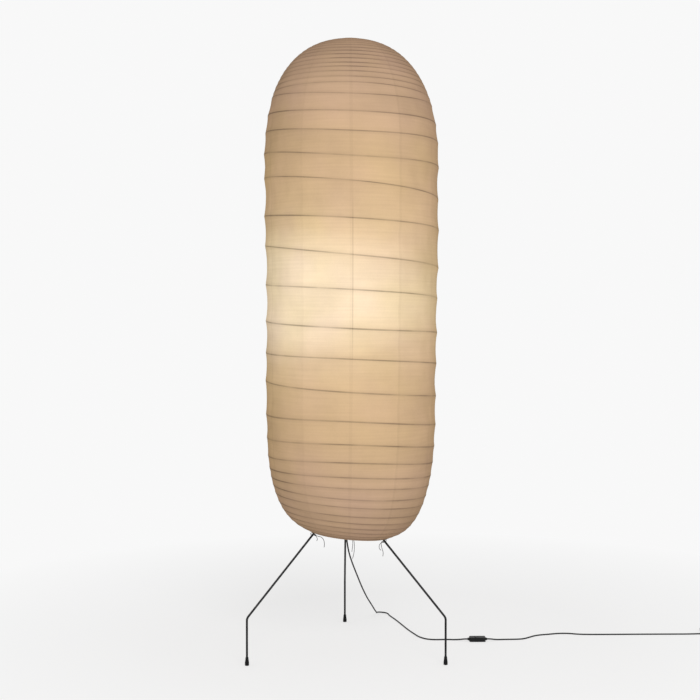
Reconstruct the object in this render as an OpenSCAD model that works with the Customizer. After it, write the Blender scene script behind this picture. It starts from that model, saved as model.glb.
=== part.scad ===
// Paper lantern floor lamp.
// A tall shade of pale paper over one long spiral rib is stretched between the top of a mast
// and three bent rod legs. A mains lead leaves the tripod hub and runs over the floor through
// an in-line rocker switch to a two-pin plug.
// Millimetres. Z is up, the floor is Z = 0, the origin is the middle of the tripod on the floor,
// and the lamp is looked at from -Y, so +X is to the right.

/* [Tripod] */
// Distance from the axis to the middle of each foot
foot_circle_r = 347; // [320:1:370]
// Height of the bend in each leg
knee_z = 143; // [125:1:165]
// Lean of the upper part of each leg away from the vertical, in degrees
leg_lean = 44.35; // [42:0.05:47]
// Diameter of the leg rod
leg_d = 6.5; // [6:0.1:7.5]
// Radius of the leg's middle line in the bend
knee_bend_r = 18; // [12:1:30]
// How far a leg goes into the hub
leg_insert = 22; // [18:0.5:24]
// Outer diameter of a rubber foot at the floor
foot_d = 12.5; // [11:0.1:16]
// Height of a rubber foot
foot_h = 25; // [20:0.5:32]
// Thickness of rubber under the end of a leg
foot_sole = 4; // [3:0.5:6]

/* [Hub and mast] */
// Largest diameter of the hub
hub_d = 56; // [52:1:64]
// Depth of the mast's socket in the hub
socket_depth = 27; // [22:1:30]
// Outer diameter of the lower mast tube
tube_d = 12; // [11:0.5:14]
// Wall of the lower mast tube
tube_wall = 1; // [0.8:0.1:1.5]
// Diameter of the upper mast rod
rod_d = 8; // [7:0.5:9]
// Lean of the mast to the right, in degrees
mast_lean = 0.6; // [0:0.1:1.2]
// Height at which the lower tube ends, in the bracket
tube_top_z = 1020; // [980:1:1060]
// Diameter of the grub screws
grub_d = 4; // [3:0.5:5]

/* [Shade] */
// Height of the shade's top ring
shade_top_z = 1914; // [1880:1:1960]
// Largest radius of the shade
shade_r = 274.5; // [260:0.5:285]
// Radius of the lower body, where its sides begin to curve in
shade_low_r = 269; // [258:1:280]
// Height where the upper dome begins
dome_z = 1515; // [1480:1:1580]
// Height where the lower end begins to curve in
bowl_z = 950; // [900:1:1000]
// Squareness of the upper dome, 2 being an ellipse
dome_power = 2.44; // [2.2:0.02:2.8]
// Squareness of the lower end
bowl_power = 3.8; // [3.2:0.1:4.2]
// Radius of the top ring
top_ring_r = 50; // [46:1:58]
// Radius of the bottom ring
bottom_ring_r = 129; // [124:1:134]
// Tilt of the bottom ring, lower on the right, in degrees
ring_tilt = 5.2; // [0:0.1:7]
// Diameter of the ring and spoke wire
ring_wire_d = 3; // [2.5:0.1:4]
// Thickness of the paper with its paste
paper_t = 0.6; // [0.4:0.1:1]
// Diameter of the rib
rib_d = 2.4; // [2:0.1:3]
// Turns of the rib
rib_turns = 24; // [20:1:24]
// Spacing of the turns at both ends of the shade
end_pitch = 20; // [16:1:26]
// How far the paper pulls in between two turns, as a share of their spacing
paper_sag = 0.022; // [0.01:0.002:0.03]
// Sideways bow of the shade's middle line
shade_bow = 5; // [0:1:8]
// Diameter of the threads that space the rib
thread_d = 1.2; // [1:0.1:1.5]

/* [Lamp holder] */
// Distance from the mast to the lamp holder's axis
holder_offset = 44; // [41:1:50]
// Outer diameter of the holder
holder_d = 40; // [38:0.5:44]
// Outer diameter of the threaded tube under the holder
nipple_d = 10; // [9:0.5:11]
// Diameter of the bulb's screw cap
bulb_cap_d = 26.1; // [25.8:0.1:26.4]
// Diameter of the bulb
bulb_d = 60; // [54:1:64]
// Length of the bulb, with its cap
bulb_length = 108; // [100:1:116]

/* [Lead, switch and plug] */
// Diameter of the mains lead
lead_d = 4.6; // [4.2:0.1:5]
// Length of the switch's case
switch_length = 52; // [48:1:56]
// Width of the switch's case
switch_w = 24; // [22:0.5:27]
// Height of the switch's case
switch_h = 14; // [13:0.5:16]
// Wall of the switch's case
switch_wall = 1.8; // [1.5:0.1:2.2]
// Length of the rocker
rocker_length = 19; // [17:0.5:21]
// Width of the rocker
rocker_w = 9; // [8:0.5:10]
// Diameter of the tie strings
string_d = 1.4; // [1.2:0.1:1.6]
// Turns of the coil that the spare lead is put away in
coil_turns = 6.25; // [4.25:1:6.25]
// Outer radius of the coil's middle line
coil_r = 34.5; // [34:0.5:38]
// Width of the plug across its two pins
plug_w = 35.3; // [34:0.1:37]
// Thickness of the plug
plug_t = 13.8; // [13:0.1:15]
// Length of the plug's body
plug_length = 36; // [34:0.5:40]
// Diameter of a pin
pin_d = 4; // [3.9:0.1:4.1]
// Length of a pin outside the body
pin_length = 19; // [18:0.1:20]
// Distance between the pins
pin_spacing = 19; // [18.5:0.1:19.5]

/* [Hidden] */
$fn = 64;
fit = 0.05;             // radial clearance of a rod in its bore
seat = 0.3;             // gap between pieces that rest on each other
lap = 0.4;              // how far a straight length of rod runs into its bend
bend_swell = 0.04;      // how much thicker the rod is in its bend
side_names = ["left", "right", "rear"];
leg_azimuths = [210, 330, 90];

// Tripod: the axes of the three upper legs meet at the apex, inside the hub.
apex_z = knee_z + foot_circle_r / tan(leg_lean);
knee_tangent = knee_bend_r * tan(leg_lean / 2);
hub_base_z = apex_z - 42;
hub_base_r = 9;
hub_cone_z = hub_base_z + hub_d / 2 - hub_base_r + 1;
hub_rim_z = hub_cone_z + 10;
hub_top_z = apex_z + 22;
hub_neck_r = tube_d / 2 + 9;
hub_shoulder_z = hub_rim_z + hub_d / 2 - hub_neck_r;
hub_face_reach = (apex_z - hub_base_z + hub_base_r - 1) / (sin(leg_lean) + cos(leg_lean));
leg_end_reach = hub_face_reach - leg_insert;
lead_bore_r = lead_d / 2 + 0.9;
leg_screw_reach = leg_end_reach + 11;
leg_screw_length = 8.5;

// Mast
tube_r = tube_d / 2;
rod_r = rod_d / 2;
tube_bottom_z = hub_top_z - socket_depth;
bracket_base_z = tube_top_z - 18;
bracket_h = 44;
bracket_r = 12;
channel_z = tube_top_z + 7;
rod_bottom_z = tube_top_z + 12;
collar_z = shade_top_z - 37;
collar_h = 8;
collar_r = rod_r + 5;
eye_base_z = collar_z + collar_h + seat;
eye_h = 10;
eye_r = rod_r + seat;
eye_wall = 2.2;
rod_top_z = eye_base_z + eye_h + 7;
spoke_count = 3;

// Lamp holder, in heights above the seat on the bracket
seat_z = tube_top_z + 20;
boss_r = 11;
arm_w = 16;
nipple_r = nipple_d / 2;
lead_turn = 4;
nipple_below = seat_z - channel_z - lead_turn - 0.5;
nipple_above = 12;
cap_floor = 2.5;
cap_top = 22;
barrel_top = 62;
holder_r = holder_d / 2;
holder_wall = 1.8;
cap_r = bulb_cap_d / 2;
shell_r = cap_r + 0.35;
shell_t = 0.5;
insert_inner_r = shell_r + shell_t + 0.1;
insert_floor = cap_top + 6;
insert_top = barrel_top - 4;
contact_top = insert_floor + 2.5;
bulb_base = contact_top + seat;
bulb_cap_base = bulb_base + 5.2;
bulb_cap_length = 21.5;
shell_top = bulb_cap_base + bulb_cap_length - 2.5 - seat;
bulb_r = bulb_d / 2;

// Shade: the outline in the (radius, height) plane, from the top ring to the bottom ring
leg_slope = 1 / tan(leg_lean);
ring_seat_apex_z = apex_z + ((leg_d + ring_wire_d) / 2 + seat) / sin(leg_lean);
bottom_ring_x = bottom_ring_r * sin(ring_tilt) / leg_slope;
bottom_ring_z = ring_seat_apex_z - leg_slope * bottom_ring_r * cos(ring_tilt);
paper_over_ring = ring_wire_d / 2 + seat + paper_t;
ring_steps = 24;
corner_share = 1 / cos(180 / ring_steps);
rim_top_r = (top_ring_r + paper_over_ring) * corner_share;
rim_bottom_r = (bottom_ring_r + paper_over_ring) * corner_share;
dome_h = (shade_top_z - dome_z) / pow(1 - pow(rim_top_r / shade_r, dome_power), 1 / dome_power);
bowl_h = (bowl_z - bottom_ring_z)
    / pow(1 - pow(rim_bottom_r / shade_low_r, bowl_power), 1 / bowl_power);
dome_end = acos(pow(rim_top_r / shade_r, dome_power / 2));
bowl_end = acos(pow(rim_bottom_r / shade_low_r, bowl_power / 2));
outline_steps = 36;
outline = concat(
    [for (i = [outline_steps:-1:0]) let (a = dome_end * i / outline_steps)
        [shade_r * pow(cos(a), 2 / dome_power), dome_z + dome_h * pow(sin(a), 2 / dome_power)]],
    [for (i = [0:outline_steps]) let (a = bowl_end * i / outline_steps)
        [shade_low_r * pow(cos(a), 2 / bowl_power), bowl_z - bowl_h * pow(sin(a), 2 / bowl_power)]]
);
outline_along = [for (i = 0, s = 0; i < len(outline);
    s = s + (i + 1 < len(outline) ? norm(outline[i + 1] - outline[i]) : 0), i = i + 1) s];
outline_length = outline_along[len(outline) - 1];
outline_rs = [for (i = [0:len(outline) - 1]) [outline_along[i], outline[i][0]]];
outline_zs = [for (i = [0:len(outline) - 1]) [outline_along[i], outline[i][1]]];

function outline_at(s) = [lookup(s, outline_rs), lookup(s, outline_zs)];
function outline_down(s) =
    let (d = outline_at(min(s + 4, outline_length)) - outline_at(max(s - 4, 0))) d / norm(d);
function outline_out(s) = let (t = outline_down(s)) [-t[1], t[0]];

// The middle line drifts from the leaning mast's tip to the tilted bottom ring.
top_ring_x = (shade_top_z - apex_z) * sin(mast_lean);
tilt_reach = 330;
function height_share(z) = (z - bottom_ring_z) / (shade_top_z - bottom_ring_z);
function middle_x(z) = bottom_ring_x + (top_ring_x - bottom_ring_x) * height_share(z)
    + shade_bow * sin(180 * min(1, max(0, height_share(z))));
function fall(z) = let (low = max(0, 1 - (z - bottom_ring_z) / tilt_reach))
    tan(mast_lean) + (tan(ring_tilt) - tan(mast_lean)) * pow(min(1, low), 1.5);
function in_space(rz, azimuth) = [
    middle_x(rz[1]) + rz[0] * cos(azimuth),
    rz[0] * sin(azimuth),
    rz[1] - fall(rz[1]) * rz[0] * cos(azimuth)
];

// Rib: the spacing of its turns swells from both ends to the middle.
rib_sides = 6;
rib_start = 14;
rib_run = outline_length - 2 * rib_start;
middle_pitch = end_pitch + (rib_run / rib_turns - end_pitch) * PI / 2;
rib_last = rib_turns * ring_steps;
rib_inset = paper_t + seat + rib_d / 2;
function rib_along(m) = let (u = m / rib_last)
    rib_start + rib_turns * (end_pitch * u + (middle_pitch - end_pitch) * (1 - cos(180 * u)) / PI);
function rib_azimuth(m) = 180 + 360 * m / ring_steps;
function inset_at(s, inset) = outline_at(s) - inset * outline_out(s);

// Lead: the route over the floor is chosen by hand, in millimetres.
lead_r = lead_d / 2;
grip_length = 36;
lead_exit_z = hub_base_z - grip_length;
switch_x = 428.5;
switch_y = 92;
switch_axis_z = switch_h / 2;
collar_reach = 6;
switch_left_x = switch_x - switch_length / 2 - collar_reach;
switch_right_x = switch_x + switch_length / 2 + collar_reach;
upper_route = [
    [0, 0, lead_exit_z], [0, 0, lead_exit_z - 20], [1, 3, lead_exit_z - 45],
    [4, 12, 340], [11, 30, 300], [22, 56, 262], [40, 104, 208], [56, 160, 160],
    [73, 224, 114], [90, 295, 72], [103, 360, 36], [110, 406, 14], [113, 428, 6],
    [115, 444, lead_r], [121, 458, lead_r], [134, 464, lead_r], [147, 458, lead_r],
    [153, 444, lead_r], [158, 424, lead_r], [176, 366, lead_r], [194, 298, lead_r],
    [211, 232, lead_r], [230, 172, lead_r], [244, 136, lead_r], [264, 112, lead_r],
    [290, 103, lead_r], [325, 104, lead_r], [350, 102, lead_r], [370, 96, 4.4],
    [386, switch_y, switch_axis_z], [switch_left_x, switch_y, switch_axis_z]
];
coil_lift = 1.3;
coil_x = 1222;
coil_y = 195;
coil_low_z = lead_r + coil_lift;
layer_step = lead_d + 0.5;
coil_entry = [coil_x - 8, coil_y - coil_r, coil_low_z];
lower_route = [
    [switch_right_x, switch_y, switch_axis_z], [switch_right_x + 10, switch_y, switch_axis_z],
    [486, 95, 4.4], [506, 101, lead_r], [535, 103, lead_r], [565, 105, lead_r],
    [585, 112, lead_r], [604, 128, lead_r], [622, 144, lead_r], [644, 156, lead_r],
    [676, 165, lead_r], [708, 174, lead_r], [740, 174, lead_r], [770, 165, lead_r],
    [800, 161, lead_r], [860, 160, lead_r], [1000, 161, lead_r], [1120, 161, lead_r],
    [1190, 160.5, coil_low_z], [coil_x - 14, coil_y - coil_r, coil_low_z], coil_entry
];

// Coil: in on the lower layer, up one layer in half a turn, and out again on the upper layer.
coil_pitch = lead_d + 0.5;
coil_one_way = (coil_turns - 0.5) / 2;
coil_inner_r = coil_r - coil_pitch * coil_one_way;
climb_dip = 1;
function coil_radius(u) = u < coil_one_way ? coil_r - coil_pitch * u
    : u < coil_one_way + 0.5 ? coil_inner_r - climb_dip * sin(360 * (u - coil_one_way))
    : coil_inner_r + coil_pitch * (u - coil_one_way - 0.5);
function coil_z(u) = coil_low_z + layer_step * min(1, max(0, (u - coil_one_way) * 2));
function coil_point(u) = [
    coil_x + coil_radius(u) * cos(360 * u - 90), coil_y + coil_radius(u) * sin(360 * u - 90), coil_z(u)
];
coil_steps = round(coil_turns * ring_steps);
plug_x = coil_x + coil_r;
tail_y = coil_y + 8;
relief_length = 22;
plug_axis_z = plug_t / 2;
relief_y = tail_y + 20;
plug_back_y = relief_y + relief_length;
plug_front_y = plug_back_y + plug_length;
pin_root = 9;
pin_root_r = pin_d / 2 - 0.6;
coil_line = concat(
    [coil_entry],
    [for (i = [0:coil_steps]) coil_point(i / ring_steps)],
    [[plug_x, tail_y, coil_low_z + layer_step]]
);
tail_route = [
    [plug_x, tail_y, coil_low_z + layer_step], [plug_x, tail_y + 6, coil_low_z + layer_step],
    [plug_x, tail_y + 14, plug_axis_z], [plug_x, relief_y, plug_axis_z]
];

// A tube along a list of points: the section is carried along without twisting.
function unit(v) = v / norm(v);
function direction(line, i) =
    unit(line[min(i + 1, len(line) - 1)] - line[max(i - 1, 0)]);
function across(v, t) = unit(v - t * (v * t));
function sides_of(line, first) = [for (i = 0, n = across(first, direction(line, 0)); i < len(line);
    i = i + 1, n = i < len(line) ? across(n, direction(line, i)) : n) n];
function tube_points(line, r, sides, first) = let (n = sides_of(line, first)) [
    for (i = [0:len(line) - 1]) let (t = direction(line, i), b = cross(t, n[i]))
        for (k = [0:sides - 1]) let (a = 360 * k / sides) line[i] + r * (cos(a) * n[i] + sin(a) * b)
];
function tube_faces(rings, sides) = concat(
    [for (i = [0:rings - 2]) for (k = [0:sides - 1])
        let (a = i * sides + k, b = i * sides + (k + 1) % sides) [a, a + sides, b + sides]],
    [for (i = [0:rings - 2]) for (k = [0:sides - 1])
        let (a = i * sides + k, b = i * sides + (k + 1) % sides) [a, b + sides, b]],
    [for (k = [1:sides - 2]) [0, k, k + 1]],
    [for (k = [1:sides - 2]) let (e = (rings - 1) * sides) [e, e + k + 1, e + k]]
);
module tube(line, r, sides, first) {
    polyhedron(points = tube_points(line, r, sides, first), faces = tube_faces(len(line), sides));
}
// A smooth line through a few chosen points, with so many steps between two of them.
function smooth_at(p0, p1, p2, p3, t) = 0.5 * (2 * p1 + (p2 - p0) * t
    + (2 * p0 - 5 * p1 + 4 * p2 - p3) * t * t + (3 * p1 - p0 - 3 * p2 + p3) * t * t * t);
function smooth(points, steps) = let (last = len(points) - 1) concat(
    [for (i = [0:last - 1]) for (j = [0:steps - 1])
        smooth_at(points[max(i - 1, 0)], points[i], points[i + 1], points[min(i + 2, last)], j / steps)],
    [points[last]]
);
function length_of(line) = len(line) < 2 ? 0 : [for (i = 1, s = norm(line[1] - line[0]);
    i < len(line); i = i + 1, s = s + (i < len(line) ? norm(line[i] - line[i - 1]) : 0)) s]
    [len(line) - 2];

// Places
module at_leg(i) rotate([0, 0, leg_azimuths[i]]) children();
module along_leg(reach) translate([0, 0, apex_z]) rotate([0, 180 - leg_lean, 0])
    translate([0, 0, reach]) children();
module on_mast() translate([0, 0, apex_z]) rotate([0, mast_lean, 0])
    translate([0, 0, -apex_z]) children();
module at_holder(h) on_mast() translate([-holder_offset, 0, seat_z + h]) children();

// Tripod
module foot(i) color("#17171a") at_leg(i) translate([foot_circle_r, 0, 0]) difference() {
    rotate_extrude() polygon([
        [0, 0], [foot_d / 2 - 1, 0], [foot_d / 2, 1], [foot_d / 2, foot_h * 0.35],
        [foot_d / 2 - 1.2, foot_h * 0.7], [leg_d / 2 + 1.3, foot_h - 1], [leg_d / 2 + 1, foot_h],
        [0, foot_h]
    ]);
    translate([0, 0, foot_sole]) cylinder(r = leg_d / 2 + fit, h = foot_h);
}
module leg(i) color("#1c1c1e") at_leg(i) {
    bend_z = knee_z - knee_tangent;
    translate([foot_circle_r, 0, foot_sole]) cylinder(d = leg_d, h = bend_z + lap - foot_sole);
    translate([foot_circle_r - knee_bend_r, 0, bend_z]) rotate([90, 0, 0])
        rotate_extrude(angle = leg_lean) translate([knee_bend_r, 0])
            circle(d = leg_d + bend_swell);
    along_leg(leg_end_reach)
        cylinder(d = leg_d, h = foot_circle_r / sin(leg_lean) - knee_tangent + lap - leg_end_reach);
}
module grub(h) difference() {
    cylinder(d = grub_d, h = h);
    translate([0, 0, h - 2]) cylinder(d = grub_d / 2, h = 3, $fn = 6);
}
// A grub screw's bore starts inside the rod's bore, so that the two open into each other.
module grub_bore() translate([0, 0, -leg_d / 4]) cylinder(r = grub_d / 2 + fit, h = 30);
module leg_screw_place() along_leg(leg_screw_reach) rotate([0, -90, 0])
    translate([0, 0, leg_d / 2 + fit]) children();
module leg_hub() color("#232326") difference() {
    rotate_extrude() polygon([
        [0, hub_base_z], [hub_base_r, hub_base_z], [hub_d / 2, hub_cone_z], [hub_d / 2, hub_rim_z],
        [hub_neck_r, hub_shoulder_z], [hub_neck_r, hub_top_z - 1.5], [hub_neck_r - 1.5, hub_top_z],
        [0, hub_top_z]
    ]);
    translate([0, 0, hub_base_z - 1]) cylinder(r = lead_bore_r, h = socket_depth + hub_top_z);
    on_mast() translate([0, 0, tube_bottom_z]) cylinder(r = tube_r + fit, h = socket_depth + 5);
    for (i = [0:2]) at_leg(i) {
        along_leg(leg_end_reach) cylinder(r = leg_d / 2 + fit, h = leg_insert + 15);
        leg_screw_place() grub_bore();
    }
    socket_screw_place() grub_bore();
}
module leg_set_screws() color("#55555a") for (i = [0:2]) at_leg(i)
    leg_screw_place() grub(leg_screw_length);
module socket_screw_place() on_mast() translate([0, 0, hub_top_z - 9]) rotate([90, 0, 0])
    translate([0, 0, tube_r + fit]) children();
module socket_screw() color("#55555a") socket_screw_place() grub(8);

// Mast
module mast_lower() color("#1c1c1e") on_mast() translate([0, 0, tube_bottom_z]) difference() {
    cylinder(r = tube_r, h = tube_top_z - tube_bottom_z);
    translate([0, 0, -1]) cylinder(r = tube_r - tube_wall, h = tube_top_z - tube_bottom_z + 2);
}
module bracket_screw_place(z, r) on_mast() translate([0, 0, z]) rotate([0, 90, 0])
    translate([0, 0, r + fit]) children();
module holder_bracket() color("#232326") difference() {
    on_mast() difference() {
        union() {
            translate([0, 0, bracket_base_z]) cylinder(r = bracket_r, h = bracket_h);
            translate([-holder_offset, -arm_w / 2, bracket_base_z + 16])
                cube([holder_offset, arm_w, 18]);
            translate([-holder_offset, 0, bracket_base_z + 16])
                cylinder(r = boss_r, h = seat_z - bracket_base_z - 16);
        }
        translate([0, 0, bracket_base_z - 1]) cylinder(r = tube_r + fit, h = 19);
        translate([0, 0, tube_top_z - 1])
            cylinder(r = tube_r - tube_wall, h = channel_z - tube_top_z + 1 + lead_bore_r);
        translate([0, 0, channel_z]) rotate([0, -90, 0]) cylinder(r = lead_bore_r, h = holder_offset);
        translate([-holder_offset, 0, channel_z]) cylinder(r = lead_bore_r, h = 30);
        translate([-holder_offset, 0, seat_z - nipple_below]) cylinder(r = nipple_r + fit, h = 30);
        translate([0, 0, rod_bottom_z]) cylinder(r = rod_r + fit, h = 30);
    }
    bracket_screw_place(tube_top_z - 9, tube_r) grub_bore();
    bracket_screw_place(rod_bottom_z + 7, rod_r) grub_bore();
}
module bracket_set_screws() color("#55555a") {
    bracket_screw_place(tube_top_z - 9, tube_r) grub(bracket_r - tube_r);
    bracket_screw_place(rod_bottom_z + 7, rod_r) grub(bracket_r - rod_r);
}
module mast_upper() color("#1c1c1e") on_mast() translate([0, 0, rod_bottom_z]) rotate_extrude()
    polygon([
        [0, 0], [rod_r, 0], [rod_r, rod_top_z - rod_bottom_z - 2],
        [rod_r - 2, rod_top_z - rod_bottom_z], [0, rod_top_z - rod_bottom_z]
    ]);
module collar_screw_place() bracket_screw_place(collar_z + collar_h / 2, rod_r) children();
module mast_collar() color("#232326") difference() {
    on_mast() translate([0, 0, collar_z]) difference() {
        cylinder(r = collar_r, h = collar_h);
        translate([0, 0, -1]) cylinder(r = rod_r + fit, h = collar_h + 2);
    }
    collar_screw_place() grub_bore();
}
module collar_screw() color("#55555a") collar_screw_place() grub(collar_r - rod_r);

// Wiring inside the stand
module cord_grip() color("#17171a") translate([0, 0, lead_exit_z]) difference() {
    rotate_extrude() polygon([
        [0, 0], [lead_r + 0.9, 0], [lead_r + 2.6, grip_length - 5], [hub_base_r - 1, grip_length - 4],
        [hub_base_r - 1, grip_length], [lead_bore_r - fit, grip_length],
        [lead_bore_r - fit, grip_length + 8], [0, grip_length + 8]
    ]);
    translate([0, 0, -1]) cylinder(r = lead_r + fit, h = grip_length + 12);
}
function lean_over(p) = [
    p[0] * cos(mast_lean) + (p[2] - apex_z) * sin(mast_lean),
    p[1],
    apex_z - p[0] * sin(mast_lean) + (p[2] - apex_z) * cos(mast_lean)
];
module inner_lead() color("#202022") {
    turn = lead_turn;
    top = seat_z + nipple_above + 4;
    tube(concat([[0, 0, lead_exit_z], [0, 0, hub_base_z]], [for (p = [
        [0, 0, tube_bottom_z], [0, 0, (tube_bottom_z + channel_z) / 2], [0, 0, channel_z - turn],
        [-turn * 0.3, 0, channel_z - turn * 0.3], [-turn, 0, channel_z],
        [-holder_offset + turn, 0, channel_z],
        [-holder_offset + turn * 0.3, 0, channel_z + turn * 0.3],
        [-holder_offset, 0, channel_z + turn], [-holder_offset, 0, top]
    ]) lean_over(p)]), lead_r, 10, [0, 1, 0]);
}

// Lamp holder and bulb
module ring_of(inner, outer, h) difference() {
    cylinder(r = outer, h = h);
    translate([0, 0, -1]) cylinder(r = inner, h = h + 2);
}
module holder_nipple() color("#8c8c90") at_holder(0) translate([0, 0, -nipple_below])
    ring_of(lead_r + 0.8, nipple_r, nipple_below + nipple_above);
module nipple_nut() color("#8c8c90") at_holder(cap_floor) difference() {
    cylinder(r = nipple_r + 3.2, h = 5, $fn = 6);
    translate([0, 0, -1]) cylinder(r = nipple_r + fit, h = 7);
}
module holder_cap() color("#1b1b1c") at_holder(0) rotate_extrude() polygon([
    [nipple_r + fit, 0], [holder_r - 6, 0], [holder_r - 3.5, 3], [holder_r, cap_top - 4],
    [holder_r, cap_top], [holder_r - 3, cap_top], [holder_r - 3, cap_top - 4],
    [holder_r - 6, cap_floor + 2], [holder_r - 7, cap_floor], [nipple_r + fit, cap_floor]
]);
module holder_barrel() color("#1b1b1c") at_holder(0) rotate_extrude() polygon([
    [holder_r - holder_wall, cap_top], [holder_r, cap_top], [holder_r, barrel_top - 2],
    [holder_r - 2, barrel_top], [cap_r + 1.6, barrel_top], [cap_r + 1.6, barrel_top - 2],
    [holder_r - holder_wall, barrel_top - 2]
]);
module holder_insert() color("#e9e6df") at_holder(0) rotate_extrude() polygon([
    [0, cap_top], [holder_r - holder_wall - 0.1, cap_top],
    [holder_r - holder_wall - 0.1, insert_top], [insert_inner_r, insert_top],
    [insert_inner_r, insert_floor], [0, insert_floor]
]);
module screw_shell() color("#c9a551") at_holder(insert_floor)
    ring_of(shell_r, shell_r + shell_t, shell_top - insert_floor);
module centre_contact() color("#c9a551") at_holder(insert_floor) {
    cylinder(r = 4, h = contact_top - insert_floor);
    translate([-2, 0, 0]) cube([4, shell_r - 2, 0.8]);
}
module holder_terminals() color("#c9a551") for (side = [-1, 1])
    at_holder(cap_top - 6) translate([0, side * 10, 0]) difference() {
        cylinder(r = 2.8, h = 6);
        translate([0, 0, -1]) cylinder(r = 0.9, h = 4);
    }
module bulb_contact() color("#b9b9bd") at_holder(bulb_base) cylinder(r = 4.6, h = 1.8);
module bulb_insulator() color("#202022") at_holder(bulb_base + 1.8)
    cylinder(r1 = 5, r2 = cap_r - 1.5, h = 3.4);
module bulb_cap() color("#c4c4c8") at_holder(bulb_cap_base) rotate_extrude() polygon([
    [0, 0], [cap_r - 1.2, 0], [cap_r, 1.5], [cap_r, bulb_cap_length - 2.5],
    [cap_r + 0.5, bulb_cap_length - 1.5], [cap_r + 0.5, bulb_cap_length], [0, bulb_cap_length]
]);
// The glass swells from its neck to a ball: a neck, a cone that touches the ball, and the ball.
module bulb_glass() color("#f4efe2") {
    neck_r = cap_r + 0.2;
    glass_base = bulb_cap_base + bulb_cap_length;
    ball_z = bulb_base + bulb_length - bulb_r;
    lean = 26;
    touch_r = bulb_r * cos(lean);
    touch_z = ball_z - bulb_r * sin(lean);
    cone_z = touch_z - (touch_r - neck_r) / tan(lean);
    at_holder(0) rotate_extrude() polygon(concat(
        [[0, glass_base], [neck_r, glass_base], [neck_r, max(glass_base + 1, cone_z)]],
        [for (a = [-lean:8:89]) [bulb_r * cos(a), ball_z + bulb_r * sin(a)]],
        [[0, ball_z + bulb_r]]
    ));
}

// Shade
// Points of one face of the paper: the rib's crests, the hollows between them and both rims.
function paper_face_points(inset) = concat(
    [for (m = [0:rib_last]) in_space(inset_at(rib_along(m), inset), rib_azimuth(m))],
    [for (m = [0:rib_last - ring_steps]) let (
            a = rib_along(m),
            b = rib_along(m + ring_steps),
            middle = (a + b) / 2
        ) in_space(inset_at(middle, inset + paper_sag * (b - a)), rib_azimuth(m))],
    [for (j = [0:ring_steps - 1]) in_space(inset_at(0, inset), rib_azimuth(j))],
    [for (j = [0:ring_steps - 1])
        in_space(inset_at(outline_length, inset), rib_azimuth(j))]
);
hollow_first = rib_last + 1;
top_first = hollow_first + rib_last - ring_steps + 1;
bottom_first = top_first + ring_steps;
face_size = bottom_first + ring_steps;
last_loop = rib_last - ring_steps;
paper_outer = concat(
    [for (m = [0:last_loop - 1]) [m, m + 1, hollow_first + m + 1]],
    [for (m = [0:last_loop - 1]) [m, hollow_first + m + 1, hollow_first + m]],
    [for (m = [0:last_loop - 1]) [hollow_first + m, hollow_first + m + 1, m + ring_steps + 1]],
    [for (m = [0:last_loop - 1]) [hollow_first + m, m + ring_steps + 1, m + ring_steps]],
    [for (j = [0:ring_steps - 2]) [top_first + j, top_first + j + 1, j + 1]],
    [for (j = [0:ring_steps - 2]) [top_first + j, j + 1, j]],
    [
        [ring_steps - 1, top_first + ring_steps - 1, top_first],
        [ring_steps - 1, top_first, 0],
        [ring_steps - 1, 0, hollow_first],
        [ring_steps - 1, hollow_first, ring_steps],
        [last_loop + 1, bottom_first + 1, bottom_first],
        [last_loop + 1, bottom_first, rib_last],
        [last_loop + 1, rib_last, hollow_first + last_loop],
        [last_loop + 1, hollow_first + last_loop, last_loop]
    ],
    [for (j = [1:ring_steps - 1])
        [last_loop + j, last_loop + j + 1, bottom_first + (j + 1) % ring_steps]],
    [for (j = [1:ring_steps - 1])
        [last_loop + j, bottom_first + (j + 1) % ring_steps, bottom_first + j]]
);
paper_inner = [for (f = paper_outer) [f[2] + face_size, f[1] + face_size, f[0] + face_size]];
paper_rims = concat(
    [for (j = [0:ring_steps - 1]) let (k = (j + 1) % ring_steps)
        [top_first + k, top_first + j, top_first + j + face_size]],
    [for (j = [0:ring_steps - 1]) let (k = (j + 1) % ring_steps)
        [top_first + k, top_first + j + face_size, top_first + k + face_size]],
    [for (j = [0:ring_steps - 1]) let (k = (j + 1) % ring_steps)
        [bottom_first + j, bottom_first + k, bottom_first + k + face_size]],
    [for (j = [0:ring_steps - 1]) let (k = (j + 1) % ring_steps)
        [bottom_first + j, bottom_first + k + face_size, bottom_first + j + face_size]]
);
module paper_shade() color("#ecd9b8") polyhedron(
    points = concat(paper_face_points(0), paper_face_points(paper_t)),
    faces = concat(paper_outer, paper_inner, paper_rims)
);
function rib_ring(m) = let (
        s = rib_along(m),
        out = outline_out(s),
        down = outline_down(s),
        middle = inset_at(s, rib_inset)
    ) [for (k = [0:rib_sides - 1]) let (a = 360 * k / rib_sides)
        in_space(middle + rib_d / 2 * (cos(a) * out + sin(a) * down), rib_azimuth(m))];
function rib_middle(m) = in_space(inset_at(rib_along(m), rib_inset), rib_azimuth(m));
rib_gap = min([for (m = [0:last_loop]) norm(rib_middle(m + ring_steps) - rib_middle(m))]) - rib_d;
module rib_spiral() color("#b08d5c") {
    echo(least_gap_between_rib_turns = rib_gap);
    polyhedron(
        points = [for (m = [0:rib_last]) for (p = rib_ring(m)) p],
        faces = [for (f = tube_faces(rib_last + 1, rib_sides)) [f[2], f[1], f[0]]]
    );
}
thread_azimuths = [30, 150, 270];
thread_steps = 26;
thread_inset = rib_inset + rib_d / 2 + thread_d / 2 + 0.1;
thread_end = 9;
function thread_line(azimuth) = [for (i = [0:thread_steps])
    let (s = thread_end + (outline_length - 2 * thread_end) * i / thread_steps)
        in_space(inset_at(s, thread_inset), azimuth)];
module spacing_threads() color("#d9cfb8") for (a = thread_azimuths)
    tube(thread_line(a), thread_d / 2, 6, [-sin(a), cos(a), 0]);
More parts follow.
